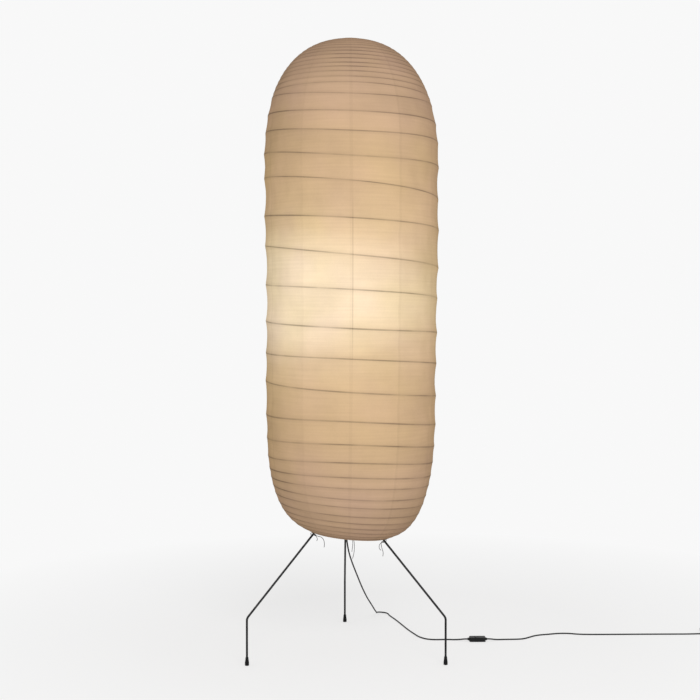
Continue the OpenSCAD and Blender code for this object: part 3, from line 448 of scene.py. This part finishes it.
# %% [markdown]
# ## The rib's spacing
# One strip of bamboo winds from the top ring to the bottom ring in 41 turns. They lie close
# together at both ends, where the paper curves most, and far apart in the middle. A formula gives
# an even spacing, but a hand-wound rib isn't even, and that is what makes such a shade look made
# by hand. So the spacings are chosen one by one, in millimetres, each for a turn's front. Then
# the spiral is led a little higher or lower at its left and right sides, where it is uneven too.

# %% Distance of each turn down the outline
turns, steps_round = 41, 168
first_azimuth = math.radians(180)
first_spacings = [15 + 3.2 * i / 12 for i in range(12)]
chosen_spacings = [15, 17, 19, 19, 37, 54, 58, 73, 72, 109, 107, 102, 115, 89, 98, 86, 68, 54, 45,
                   33, 35, 26, 31, 25, 22]
last_spacings = [21.5, 21.5, 21.5]
left_shift = {17: -16, 18: -10, 19: -13, 20: -17, 21: -14, 22: 3, 23: -12, 24: 6, 25: 7, 26: 11,
              27: 2, 28: 18, 29: 20, 30: 22, 31: 14, 32: 8}
right_shift = {17: -18, 18: -14, 19: -19, 20: -16, 21: 4, 22: -10, 23: 2, 24: -8, 25: -10,
               26: -5, 27: 1, 28: 9, 29: 11, 30: 8, 31: 5}
fronts = [0.25 * first_spacings[0]]
for spacing in first_spacings + chosen_spacings + last_spacings:
    fronts.append(fronts[-1] + spacing)
quarters = [0.0]
for k, front in enumerate(fronts):
    before = fronts[k - 1] if k else front - first_spacings[0]
    after = fronts[k + 1] if k + 1 < len(fronts) else front + last_spacings[-1]
    if k:
        quarters.append(0.25 * before + 0.75 * front + left_shift.get(k, 0))
    quarters += [front, 0.75 * front + 0.25 * after + right_shift.get(k, 0),
                 0.5 * front + 0.5 * after]
quarters.append(0.25 * fronts[-1] + 0.75 * (fronts[-1] + last_spacings[-1]))


def rib_at(turn):
    """Distance down the outline after so many turns, on a smooth curve through the quarters."""
    place = 4 * min(max(turn, 0), turns)
    i = min(int(place), len(quarters) - 2)
    t = place - i
    p1, p2 = quarters[i], quarters[i + 1]
    slope1 = (p2 - quarters[i - 1]) / 2 if i else p2 - p1
    slope2 = (quarters[i + 2] - p1) / 2 if i + 2 < len(quarters) else p2 - p1
    smooth_place = (p1 * (2 * t ** 3 - 3 * t ** 2 + 1) + slope1 * (t ** 3 - 2 * t ** 2 + t)
                    + p2 * (3 * t ** 2 - 2 * t ** 3) + slope2 * (t ** 3 - t ** 2))
    return smooth_place * outline_length / quarters[-1]


made_spacings = [rib_at(t / 24 + 1) - rib_at(t / 24) for t in range(24 * (turns - 1))]
print("spacings:", round(min(made_spacings), 4), "to", round(max(made_spacings), 4), "m")

# %% [markdown]
# ## The paper
# Wet paper is pasted over the rib and shrinks tight as it dries, so it has a sharp crest on each
# turn and a shallow hollow between two turns. The mesh follows the rib: each of its rows runs
# along the spiral, so a crest is always a row of points and never cut across. After one turn a
# row meets the row one spacing lower, and the mesh closes on itself without a seam.

# %% Build the paper along the spiral
rows_per_turn = 6
last_row = (turns + 1) * rows_per_turn
sag, wrinkled_share, wrinkle_depth = 0.042, 0.35, 0.0004


def row_distance(column, row):
    """Distance down the outline, and the spacing of the turns there."""
    share, q = column / steps_round, row / rows_per_turn
    if q <= 1:
        top = rib_at(share)
        return top * q, top
    if q >= turns:
        top = rib_at(turns - 1 + share)
        return top + (outline_length - top) * (q - turns), outline_length - top
    k = min(int(q) - 1, turns - 2)
    top, low = rib_at(k + share), rib_at(k + 1 + share)
    return top + (low - top) * (q - 1 - k), low - top


def hollow(q, pitch, azimuth, turn):
    """Depth of the paper between two turns, with small wrinkles in it."""
    u = q - math.floor(q)
    deep = sag * pitch * 4 * u * (1 - u)
    wrinkle = noise.noise(Vector((azimuth * 9, turn * 3.7, u * 1.5)))
    return deep * (1 + wrinkled_share * wrinkle) + wrinkle_depth * 4 * u * (1 - u) * wrinkle


shade_mesh = bmesh.new()
around_uv = shade_mesh.loops.layers.uv.new("around")
turns_uv = shade_mesh.loops.layers.uv.new("turns")
points, facts = {}, {}
for column in range(steps_round):
    azimuth = first_azimuth + 2 * math.pi * column / steps_round
    for row in range(last_row + 1):
        if column == 0 and row < rows_per_turn:
            continue
        s, pitch = row_distance(column, row)
        q = row / rows_per_turn
        depth = hollow(q, pitch, azimuth, math.floor(q) + column / steps_round)
        place = in_space(outline_at(s) - depth * outward_at(s), azimuth)
        points[column, row] = shade_mesh.verts.new(place)
        facts[column, row] = (s, pitch)


def corner(column, row):
    """The point at that place of the spiral, counting on past the first column."""
    if column == steps_round:
        column, row = 0, min(row + rows_per_turn, last_row)
    if column == 0:
        row = max(row, rows_per_turn)
    return column, row


for column in range(steps_round):
    for row in range(last_row):
        around = [(column, row), (column + 1, row), (column + 1, row + 1), (column, row + 1)]
        # Where the spiral begins or ends, two corners can be one point and leave a triangle.
        keys = [corner(*c) for c in around]
        kept = [i for i in range(4) if keys[i] != keys[i - 1]]
        if len(kept) < 3 or len({keys[i] for i in kept}) < 3:
            continue
        face = shade_mesh.faces.new([points[keys[i]] for i in kept])
        for loop, i in zip(face.loops, kept):
            s, pitch = facts[keys[i]]
            loop[around_uv].uv = (around[i][0] / steps_round, s)
            loop[turns_uv].uv = (around[i][1] / rows_per_turn, pitch)

# %% Turn the paper's edges over both rings
def lip(rows, ring_radius, height, angles, s):
    """Carries the paper's last row round the ring's wire, inside the outline's plane."""
    before = rows
    for angle in angles:
        new = []
        for column in range(steps_round):
            azimuth = first_azimuth + 2 * math.pi * column / steps_round
            place = Vector((ring_radius + over_ring * math.cos(angle),
                            height + over_ring * math.sin(angle)))
            new.append(shade_mesh.verts.new(in_space(place, azimuth)))
        for i in range(steps_round):
            j = (i + 1) % steps_round
            face = shade_mesh.faces.new([before[i], before[j], new[j], new[i]])
            for loop, k in zip(face.loops, (i, i + 1, i + 1, i)):
                loop[around_uv].uv = (k / steps_round, s)
                loop[turns_uv].uv = (0.5, 0.02)
        before = new


top_row = [points[corner(i, 0)] for i in range(steps_round)]
bottom_row = [points[i, last_row] for i in range(steps_round)]
lip(bottom_row, bottom_ring_r, ring_z, [math.radians(-a) for a in (25, 50, 75, 90)], outline_length)
lip(top_row, top_ring_r, shade_top, [math.radians(a) for a in (30, 60, 90, 115)], 0.0)
bmesh.ops.recalc_face_normals(shade_mesh, faces=shade_mesh.faces)
# The wall is thickened inwards below, so all faces have to look out.
outside = sum(f.normal.dot(f.calc_center_median() - Vector((0.015, 0, f.calc_center_median().z)))
              for f in shade_mesh.faces)
if outside < 0:
    bmesh.ops.reverse_faces(shade_mesh, faces=shade_mesh.faces)
for face in shade_mesh.faces:
    face.smooth = True
shade_data = bpy.data.meshes.new("shade_skin")
shade_mesh.to_mesh(shade_data)
shade_mesh.free()
shade_skin = bpy.data.objects.new("shade_skin", shade_data)
scene.collection.objects.link(shade_skin)
wall = shade_skin.modifiers.new("paper wall", "SOLIDIFY")
wall.thickness, wall.offset = 0.00035, -1
print("paper:", len(shade_data.polygons), "faces")

# %% [markdown]
# ## Lit paper
# Thin paper with a bulb behind it is lit in two ways: by the room from outside, and by the bulb
# from inside. The second way could be a translucent shader and a real light in the shade, but
# that is noisy and is lost on export. Here the paper gives off light itself, less the further it
# is from the bulb. The rib and the threads block the bulb's light, so they show as dark lines.
# A thin coat with a grey tint darkens the paper where it is seen edge on, where light has a
# longer way through it.
# What belongs to the sheet uses object coordinates. What follows the winding uses the two UV maps
# of the mesh: the share of the way round with the distance down, and the turn with its spacing.
# From them come the distances, in metres, to the next turn of the rib, the next thread and the
# edge of the next strip of paper. The ping-pong of a number with 0.5 is its distance to the
# nearest whole number.

# %% Paper finish: places and distances
paper = bpy.data.materials.new("pasted mulberry paper, lit from inside")
paper.use_nodes = True
tree = paper.node_tree
tree.nodes.clear()
place = add(tree, "ShaderNodeTexCoord").outputs["Object"]
height_z = add(tree, "ShaderNodeSeparateXYZ", {0: place}).outputs["Z"]
around_map = add(tree, "ShaderNodeUVMap", uv_map="around")
around = add(tree, "ShaderNodeSeparateXYZ", {0: around_map}).outputs
winding = add(tree, "ShaderNodeSeparateXYZ", {
    0: add(tree, "ShaderNodeUVMap", uv_map="turns")}).outputs
widest_r, strips, first_strip, thread_degrees = 0.275, 11, 0.31, (30, 150, 270)
girth, threads = 2 * math.pi * widest_r, len(thread_degrees)
to_turn = add(tree, "ShaderNodeMath", {0: winding["X"], 1: 0.5}, operation="PINGPONG")
rib_distance = add(tree, "ShaderNodeMath", {0: to_turn, 1: winding["Y"]}, operation="MULTIPLY")
thread_start = (first_azimuth - math.radians(thread_degrees[-1])) / math.radians(360 / threads)
thread_turn = add(tree, "ShaderNodeMath", {0: around["X"], 1: threads, 2: thread_start},
                  operation="MULTIPLY_ADD")
to_thread = add(tree, "ShaderNodeMath", {0: thread_turn, 1: 0.5}, operation="PINGPONG")
thread_distance = add(tree, "ShaderNodeMath", {0: to_thread, 1: girth / threads},
                      operation="MULTIPLY")
strip_turn = add(tree, "ShaderNodeMath", {0: around["X"], 1: strips, 2: first_strip},
                 operation="MULTIPLY_ADD")
into_strip = add(tree, "ShaderNodeMath", {0: strip_turn}, operation="FRACT")
strip_distance = add(tree, "ShaderNodeMath", {0: into_strip, 1: girth / strips},
                     operation="MULTIPLY")
print("paper:", threads, "threads,", strips, "strips of", round(1000 * girth / strips), "mm")

# %% [markdown]
# ## Dark lines in the paper
# The rib throws a sharp line with a soft shadow beside it. Two strips of paper overlap by 8 mm and
# are double there, and the rim is pasted double round the bottom ring. The thread shows most in
# the lit middle of the shade. A painted picture could hold all this, but it would blur close up.
# Here each line is a smooth step over a distance: gone at one distance, full at the other.

# %% Paper finish: lines
lines = {}
for name, distance, gone, full in (
        ("rib", rib_distance, 0.0030, 0.0007), ("rib shadow", rib_distance, 0.014, 0.0),
        ("thread", thread_distance, 0.0016, 0.0004), ("overlap", strip_distance, 0.0088, 0.008),
        ("below top", height_z, 1.42, 1.32), ("above foot", height_z, 0.88, 1.08),
        ("rim", around["Y"], outline_length - 0.012, outline_length - 0.004)):
    lines[name] = add(tree, "ShaderNodeMapRange", {
        "Value": distance, "From Min": gone, "From Max": full}, interpolation_type="SMOOTHSTEP")
print("paper:", len(lines), "lines and limits")

# %% [markdown]
# ## Pulp, fibres and creases
# Hand-made paper has pulp that lies thick and thin in clouds, short fibres and small creases, both
# drawn out upwards here, and warmer and cooler places. The rib's painted shadow line is darker in
# one place than in the next. Streaks run round the shade. One noise could stand for all of them,
# but each has its own size, and that is what tells paper from cloth or plaster. The sizes are in
# millimetres. Each strip and each band between two turns also gets a lightness of its own.

# %% Paper finish: patches
upright = add(tree, "ShaderNodeMapping", {"Vector": place, "Scale": (1.0, 1.0, 0.35)})
streak_long, streak_tall = 192, 6.25
strip_round = add(tree, "ShaderNodeVectorMath", {
    0: around_map, 1: (1000 * girth / streak_long, 1000 / streak_tall, 0.0)}, operation="MULTIPLY")
patches = {}
for name, where, size, detail, rough, bent in (
        ("cloud", place, 111.11, 3.0, 0.5, 0.0), ("fibre", upright, 2.381, 5.0, 0.7, 0.0),
        ("crease", upright, 16.667, 4.0, 0.5, 1.2), ("rib_shade", place, 142.86, 3.0, 0.5, 0.0),
        ("blush", place, 200, 2.0, 0.5, 0.0), ("streak", strip_round, 1000, 3.0, 0.5, 0.0)):
    patches[name] = add(tree, "ShaderNodeTexNoise", {
        "Vector": where, "Scale": 1000 / size, "Detail": detail, "Roughness": rough,
        "Distortion": bent})
strip_number = add(tree, "ShaderNodeMath", {0: strip_turn}, operation="FLOOR")
patches["strip"] = add(tree, "ShaderNodeTexWhiteNoise", {"W": strip_number}, noise_dimensions="1D")
band_number = add(tree, "ShaderNodeMath", {0: winding["X"]}, operation="FLOOR")
band_part = add(tree, "ShaderNodeMath", {0: around["X"], 1: 3.0}, operation="MULTIPLY")
band = add(tree, "ShaderNodeMath", {0: band_number, 1: 7.3, 2: band_part}, operation="MULTIPLY_ADD")
patches["band"] = add(tree, "ShaderNodeTexNoise", {"W": band, "Scale": 1.0, "Detail": 1.0},
                      noise_dimensions="1D")
print("paper:", ", ".join(patches))

# %% [markdown]
# ## How light each place is
# All patches and lines end in one number, the share of the light that a place lets through. It
# holds the painted shadows of the rib and the threads, and it darkens the colour seen from outside
# as well as the light from inside. Two numbers, one for the colour and one for the light, would let
# a thick place be dark from outside and bright from inside. The patches change it by 1 to 3 % and
# the rib's painted shadow line by 9 to 34 %. One more noise makes places warmer or cooler.

# %% Paper finish: tone, painted shadows and tint
tone_and_shade = 1.0
for name, low, high, darker, lighter in (
        ("cloud", 0.3, 0.7, -0.035, 0.03), ("fibre", 0.3, 0.7, -0.015, 0.015),
        ("strip", 0.0, 1.0, -0.012, 0.012), ("streak", 0.3, 0.7, -0.022, 0.022),
        ("band", 0.3, 0.7, -0.03, 0.03)):
    change = add(tree, "ShaderNodeMapRange", {
        0: patches[name], 1: low, 2: high, 3: darker, 4: lighter})
    tone_and_shade = add(tree, "ShaderNodeMath", {0: tone_and_shade, 1: change}, operation="ADD")
# This noise varies how dark the rib's painted shadow line is from place to place.
rib_strength = add(tree, "ShaderNodeMapRange", {
    0: patches["rib_shade"], 1: 0.36, 2: 0.66, 3: 0.09, 4: 0.34})
lit_middle = add(tree, "ShaderNodeMath", {0: lines["below top"], 1: lines["above foot"]},
                 operation="MULTIPLY")
thread_strength = add(tree, "ShaderNodeMath", {0: lit_middle, 1: 0.16, 2: 0.03},
                      operation="MULTIPLY_ADD")
shadow = 1.0
for name, strength in (("rib", rib_strength), ("rib shadow", 0.05), ("thread", thread_strength),
                       ("overlap", 0.025), ("rim", 0.14)):
    part = add(tree, "ShaderNodeMath", {0: lines[name], 1: strength}, operation="MULTIPLY")
    shadow = add(tree, "ShaderNodeMath", {0: shadow, 1: part}, operation="SUBTRACT")
# The painted shadows of the rib and the threads are multiplied in here.
tone_and_shade = add(tree, "ShaderNodeMath", {0: tone_and_shade, 1: shadow}, operation="MULTIPLY")
warmth = add(tree, "ShaderNodeMapRange", {0: patches["blush"], 1: 0.35, 2: 0.65, 3: 0.0, 4: 1.0})
warm = add(tree, "ShaderNodeVectorMath", {0: warmth, 1: (0.0, 0.02, -0.07), 2: (1.0, 0.987, 1.025)},
           operation="MULTIPLY_ADD")
tint = add(tree, "ShaderNodeVectorMath", {0: warm, "Scale": tone_and_shade}, operation="SCALE")
print("paper: tone and tint ready")

# %% [markdown]
# ## Colour from outside, light from inside
# From outside the paper is a matt tan with the painted shadow lines of the rib and the threads in
# it. From inside it is a cream white beside the bulb and falls off to a dull brown at both ends. The law
# of distance alone gives too steep a fall, because
# light also goes from wall to wall inside. So a ramp over the distance from the bulb holds the
# colours that were found by comparing renders with the photograph, height by height.

# %% Paper finish: skin, light and relief
bulb_place, nearest, farthest = (-0.016, -0.02, 1.116), 0.2, 1.0
from_bulb = add(tree, "ShaderNodeVectorMath", {0: place, 1: bulb_place}, operation="DISTANCE")
reach = add(tree, "ShaderNodeMapRange", {
    0: from_bulb.outputs["Value"], 1: nearest, 2: farthest, 3: 0.0, 4: 1.0})
light = add(tree, "ShaderNodeValToRGB", {"Fac": reach})
stops = [(0.06, "#e3d6bb"), (0.1, "#d0c1a1"), (0.14, "#bba885"), (0.2, "#b19b77"),
         (0.275, "#a9926e"), (0.362, "#a18a68"), (0.462, "#978064"), (0.562, "#8b7560"),
         (0.675, "#7e6857"), (0.812, "#705b4c")]
elements = light.color_ramp.elements
while len(elements) < len(stops):
    elements.new(0.5)
for element, (position, code) in zip(elements, stops):
    element.position, element.color = position, colour(code)
light = add(tree, "ShaderNodeVectorMath", {0: light, "Scale": tone_and_shade}, operation="SCALE")
light = add(tree, "ShaderNodeVectorMath", {0: light, 1: tint}, operation="MULTIPLY")
# The skin colour takes the tint, so the painted shadow lines show from outside too.
skin = add(tree, "ShaderNodeVectorMath", {0: colour("#a58b74")[:3], 1: tint}, operation="MULTIPLY")
creased = add(tree, "ShaderNodeMath", {0: patches["crease"], 1: 0.88}, operation="MULTIPLY")
height = add(tree, "ShaderNodeMath", {0: patches["fibre"], 1: 0.12, 2: creased},
             operation="MULTIPLY_ADD")
relief = add(tree, "ShaderNodeBump", {"Height": height, "Strength": 0.55, "Distance": 0.0012})
surface = add(tree, "ShaderNodeBsdfPrincipled", {
    "Base Color": skin, "Roughness": 0.9, "Normal": relief, "Specular IOR Level": 0.15,
    "Emission Color": light, "Emission Strength": 1.0, "Coat Weight": 1.0,
    "Coat Roughness": 1.0, "Coat IOR": 1.05, "Coat Tint": (0.84, 0.825, 0.8, 1.0)})
add(tree, "ShaderNodeOutputMaterial", {"Surface": surface})
print("paper: light with", len(stops), "colours over", farthest - nearest, "m")
shade_skin.data.materials.append(paper)
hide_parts("paper_shade")
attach(shade_skin, "shade")

# %% [markdown]
# ## The rib
# The rib itself is on the inside of the paper, where it shows from below through the bottom
# ring. It takes the same spiral as the paper's crests, one paper thickness further in.

# %% Sweep the rib along its spiral
rib_r, paper_back = 0.0012, 0.0004
rib_inset = paper_back + rib_r


def spiral_point(turn, inset):
    s = rib_at(turn)
    return in_space(outline_at(s) - inset * outward_at(s), first_azimuth + 2 * math.pi * turn)


rib_route = [spiral_point(0.1 + i / 60, rib_inset) for i in range(int((turns - 0.2) * 60))]
shade_rib = rod("shade_rib", rib_route, rib_r, 6, bamboo)
print("rib:", round(length_of(rib_route), 1), "m long")
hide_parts("rib_spiral")
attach(shade_rib, "shade")

# %% [markdown]
# ## Threads and the loops that hold them to the rib
# Three threads run down the inside and keep the turns apart. Each is looped once round the rib
# where it crosses it. A loop is a small ring that repeats over a hundred times, which is what
# instances on points are for: one small ring, placed and turned by what each point carries.

# %% Sweep the three threads
thread_r, behind_paper = 0.0004, 0.0014
thread_inset = 0.0008 + 2 * rib_r + thread_r
thread_pieces = []
crossings = []
for n, degrees in enumerate(thread_degrees):
    azimuth = math.radians(degrees)
    share = ((azimuth - first_azimuth) / (2 * math.pi)) % 1
    line = []
    for k in range(turns):
        top, low = rib_at(k + share), rib_at(min(k + 1 + share, turns))
        for j in range(8):
            u = j / 8
            s = top + (low - top) * u
            deep = sag * (low - top) * 4 * u * (1 - u) * (1 + wrinkled_share) + behind_paper
            line.append(in_space(outline_at(s) - max(thread_inset, deep) * outward_at(s), azimuth))
        crossings.append((in_space(outline_at(top) - rib_inset * outward_at(top), azimuth),
                          Vector((-math.sin(azimuth), math.cos(azimuth), 0))))
    thread_pieces.append(rod(f"spacing_thread_{n + 1}", line, thread_r, 6, thread_cotton))

# %% A Geometry Nodes tree for small rings at points
ring_tree, start, end = new_tree("small rings at points", {
    "Ring radius": 0.0016, "Wire radius": 0.0003, "Ring steps": 12, "Wire steps": 6,
})
circle = add(ring_tree, "GeometryNodeCurvePrimitiveCircle", {
    "Radius": start.outputs["Ring radius"], "Resolution": start.outputs["Ring steps"]})
section = add(ring_tree, "GeometryNodeCurvePrimitiveCircle", {
    "Radius": start.outputs["Wire radius"], "Resolution": start.outputs["Wire steps"]})
one_ring = add(ring_tree, "GeometryNodeCurveToMesh", {"Curve": circle, "Profile Curve": section})
direction = add(ring_tree, "GeometryNodeInputNamedAttribute", {"Name": "axis"},
                data_type="FLOAT_VECTOR")
size = add(ring_tree, "GeometryNodeInputNamedAttribute", {"Name": "size"}, data_type="FLOAT")
turned = add(ring_tree, "FunctionNodeAlignRotationToVector", {
    "Vector": direction.outputs["Attribute"]}, axis="Z")
placed = add(ring_tree, "GeometryNodeInstanceOnPoints", {
    "Points": start.outputs["Geometry"], "Instance": one_ring, "Rotation": turned,
    "Scale": size.outputs["Attribute"]})
plain = add(ring_tree, "GeometryNodeRealizeInstances", {"Geometry": placed})
smooth = add(ring_tree, "GeometryNodeSetShadeSmooth", {"Geometry": plain})
finished = add(ring_tree, "GeometryNodeSetMaterial", {
    "Geometry": smooth, "Material": start.outputs["Finish"]})
ring_tree.links.new(finished.outputs["Geometry"], end.inputs["Geometry"])


def rings(name, places, ring_radius, wire_radius, made, steps=12):
    """places: (centre, axis, size) of each ring."""
    mesh = bpy.data.meshes.new(name + "_points")
    mesh.from_pydata([p for p, axis, scale in places], [], [])
    mesh.attributes.new("axis", "FLOAT_VECTOR", "POINT")
    mesh.attributes.new("size", "FLOAT", "POINT")
    for i, (p, axis, scale) in enumerate(places):
        mesh.attributes["axis"].data[i].vector = axis
        mesh.attributes["size"].data[i].value = scale
    source = bpy.data.objects.new(name + "_points", mesh)
    scene.collection.objects.link(source)
    piece = run_tree(source, ring_tree, name, {
        "Ring radius": ring_radius, "Wire radius": wire_radius, "Ring steps": steps, "Finish": made})
    print(name, len(places), "rings,", len(piece.data.polygons), "faces")
    return piece


# %% Loop the threads round the rib
thread_loops = rings("thread_loops", [(p, axis, 1.0) for p, axis in crossings],
                     rib_r + 0.0001, 0.0002, thread_cotton)
for piece in thread_pieces + [thread_loops]:
    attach(piece, "shade")
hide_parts("spacing_threads")

# %% [markdown]
# ## Tie strings
# The bottom ring rests on the three legs and is tied to each with a dark string: over the ring,
# under the rod, a knot below and a loose end that hangs. Each is a short limp cord. Its route is
# written along, beside and above its leg, so the same few numbers serve all three legs.

# %% Routes and knots of the tie strings
string_r, knot_r, knot_size = 0.00085, 0.0008, 0.00095
leg_azimuths = [math.radians(a) for a in (210, 330, 90)]


def ring_reach(i):
    """Distance of the ring from the hub's middle line above that leg."""
    b = ring_x * math.cos(leg_azimuths[i])
    return b + math.sqrt(b * b + bottom_ring_r ** 2 - ring_x ** 2)


def leg_place(i, forward, side, up):
    """Millimetres along the leg from the ring, sideways, and up from its middle line."""
    reach = ring_reach(i) / math.sin(lean) + forward / 1000
    r = reach * math.sin(lean) + up / 1000 * math.cos(lean)
    a = leg_azimuths[i]
    return Vector((r * math.cos(a) - side / 1000 * math.sin(a),
                   r * math.sin(a) + side / 1000 * math.cos(a),
                   apex_z - reach * math.cos(lean) + up / 1000 * math.sin(lean)))


lashing = [
    (-3.7, 1.6, -6.4), (-3.8, 4.4, -2.5), (-3.5, 4.8, 2.5), (-2.4, 3.2, 6.6), (0.0, 0.3, 7.8),
    (2.4, -3.0, 6.8), (3.4, -4.8, 2.8), (1.6, -4.6, -2.4), (-1.8, -2.4, -5.6), (-3.7, -0.8, -7.6),
]
tails = {
    "left": [(3.6, 0.2, -1.6), (9, -1, -3.4), (19, -2, -6), (26, -2, -14), (29, -2, -26),
             (28, -2, -38)],
    "right": [(-1.9, 1.6, -0.7), (-3.4, 3.6, -3.6), (-3.8, 4.2, -8), (-1.5, 1, -20), (2, -2, -32),
              (1, -2, -44)],
    "rear": [(-0.6, -3.0, -0.5), (0.4, -6.0, -2.0), (4.6, -8.2, -4.4), (13, -6.5, -9), (24, -2, -26),
             (29, 0, -52), (28, 0, -78), (23, 0, -100)],
}
second_ends = {
    "left": [(0, 0, 0), (4, 3, -6), (7, 4, -13), (5, 4, -19)],
    "right": [(0, 0, 0), (-5, 3, -4), (-10, 5, -12), (-9, 6, -22), (-4, 6, -27)],
    "rear": [(0, 0, 0), (9, 3, -7), (20, 4, -24), (24, 4, -48), (21, 4, -78)],
}
for i, side in enumerate(("left", "right", "rear")):
    knot = leg_place(i, -3.7, 0, -7.4)
    route = [leg_place(i, *p) for p in lashing]
    route += [knot + Vector(p) / 1000 for p in tails[side]]
    route = smooth_route(route, 5)
    tie = rod(f"tie_{side}", route, string_r, 8, string_dark)
    knotted = []
    for n in range(49):
        t = 2 * math.pi * n / 48
        knotted.append(knot + knot_size * Vector((
            math.sin(t) + 2 * math.sin(2 * t), math.cos(t) - 2 * math.cos(2 * t),
            -1.4 * math.sin(3 * t))))
    tie_knot = rod(f"tie_knot_{side}", knotted, knot_r, 6, string_dark)
    second_end = smooth_route([knot + Vector(p) / 1000 for p in second_ends[side]], 5)
    tie_end = rod(f"tie_end_{side}", second_end, string_r, 8, string_dark)
    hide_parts(f"tie_string_{side}")
    for piece in (tie, tie_knot, tie_end):
        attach(piece, "stand")

# %% [markdown]
# ## Ridges on the sleeves
# The rubber sleeves of the switch and the plug's strain relief have raised rings, which let them
# bend. They are the same small rings as the thread loops, in another size.

# %% Raised rings on the sleeves
X, Y = Vector((1, 0, 0)), Vector((0, 1, 0))
switch_centre, case_half, sleeve_r, sleeve_length = Vector((0.4285, 0.092, 0.007)), 0.026, 0.0049, 0.006
sleeve_rings = []
for side in (-1, 1):
    for reach in (0.0012, 0.0030, 0.0048):
        sleeve_rings.append((switch_centre + side * (case_half + reach) * X, X,
                             (sleeve_r - 0.0016 * reach / sleeve_length - 0.0001) / sleeve_r))
switch_ridges = rings("switch_ridges", sleeve_rings, sleeve_r, 0.00035, moulded_black, steps=24)
relief_start, relief_length, ridge_r = Vector((1.2565, 0.223, 0.0069)), 0.022, 0.005
relief_rings = []
for k in range(7):
    reach = 0.002 + 0.003 * k
    relief_rings.append((relief_start + reach * Y, Y,
                         (0.0031 + 0.0022 * reach / relief_length) / ridge_r))
plug_ridges = rings("plug_ridges", relief_rings, ridge_r, 0.0004, moulded_black, steps=24)
for piece in (switch_ridges, plug_ridges):
    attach(piece, "stand")

# %% [markdown]
# ## Floor, light and background
# The photograph's floor is one even white without a horizon. So what the camera sees of the floor
# is that white too, mixed near the lamp with a third of a really lit floor, which keeps a faint
# shadow. All other rays meet the lit floor. The world lights the lamp from all sides, and one
# large soft lamp in front gives the shape some roundness.

# %% Floor
even_white = 0.94
floor_mesh = bpy.data.meshes.new("floor")
floor_mesh.from_pydata([(-30, -30, 0), (30, -30, 0), (30, 60, 0), (-30, 60, 0)], [], [(0, 1, 2, 3)])
floor = bpy.data.objects.new("floor", floor_mesh)
scene.collection.objects.link(floor)
floor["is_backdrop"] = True
floor_white = bpy.data.materials.new("studio floor")
floor_white.use_nodes = True
tree = floor_white.node_tree
tree.nodes.clear()
place = add(tree, "ShaderNodeTexCoord").outputs["Object"]
away = add(tree, "ShaderNodeVectorMath", {0: place, 1: (0.2, 0.1, 0)}, operation="DISTANCE")
near = add(tree, "ShaderNodeMapRange", {
    0: away.outputs["Value"], 1: 0.7, 2: 2.0, 3: 0.35, 4: 0.0})
seen = add(tree, "ShaderNodeLightPath").outputs["Is Camera Ray"]
lit = add(tree, "ShaderNodeBsdfDiffuse", {"Color": (0.9, 0.9, 0.9, 1)})
even = add(tree, "ShaderNodeEmission", {"Color": (1, 1, 1, 1), "Strength": even_white})
blend = add(tree, "ShaderNodeMixShader", {0: near, 1: even, 2: lit})
choose = add(tree, "ShaderNodeMixShader", {0: seen, 1: lit, 2: blend})
add(tree, "ShaderNodeOutputMaterial", {"Surface": choose})
floor_mesh.materials.append(floor_white)

# %% World and key light
world = bpy.data.worlds.new("studio")
scene.world = world
world.use_nodes = True
tree = world.node_tree
tree.nodes.clear()
rays = add(tree, "ShaderNodeLightPath").outputs
plainly = add(tree, "ShaderNodeMath", {0: rays["Is Camera Ray"], 1: rays["Is Glossy Ray"]},
              operation="MAXIMUM")
plainly = add(tree, "ShaderNodeMath", {0: plainly, 1: rays["Is Transmission Ray"]},
              operation="MAXIMUM")
room = add(tree, "ShaderNodeBackground", {"Color": (1, 1, 1, 1), "Strength": 0.62})
white = add(tree, "ShaderNodeBackground", {"Color": (1, 1, 1, 1), "Strength": even_white})
both = add(tree, "ShaderNodeMixShader", {0: plainly, 1: room, 2: white})
add(tree, "ShaderNodeOutputWorld", {"Surface": both})
key_data = bpy.data.lights.new("key", "AREA")
key_data.shape, key_data.size, key_data.energy = "DISK", 2.5, 90
key = bpy.data.objects.new("key", key_data)
key.location = (0.9, -3.8, 2.8)
key.rotation_euler = (Vector((0, 0, 1.0)) - key.location).to_track_quat("-Z", "Y").to_euler()
scene.collection.objects.link(key)
scene.view_settings.view_transform = "Standard"

# %% [markdown]
# ## Size of the finished lamp
# The box round the finished lamp is printed. The finished lamp has to stay in the CAD
# model's box.

# %% Size of the finished lamp
low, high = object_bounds()
print("visual box:", [round(c, 4) for c in low], [round(c, 4) for c in high])
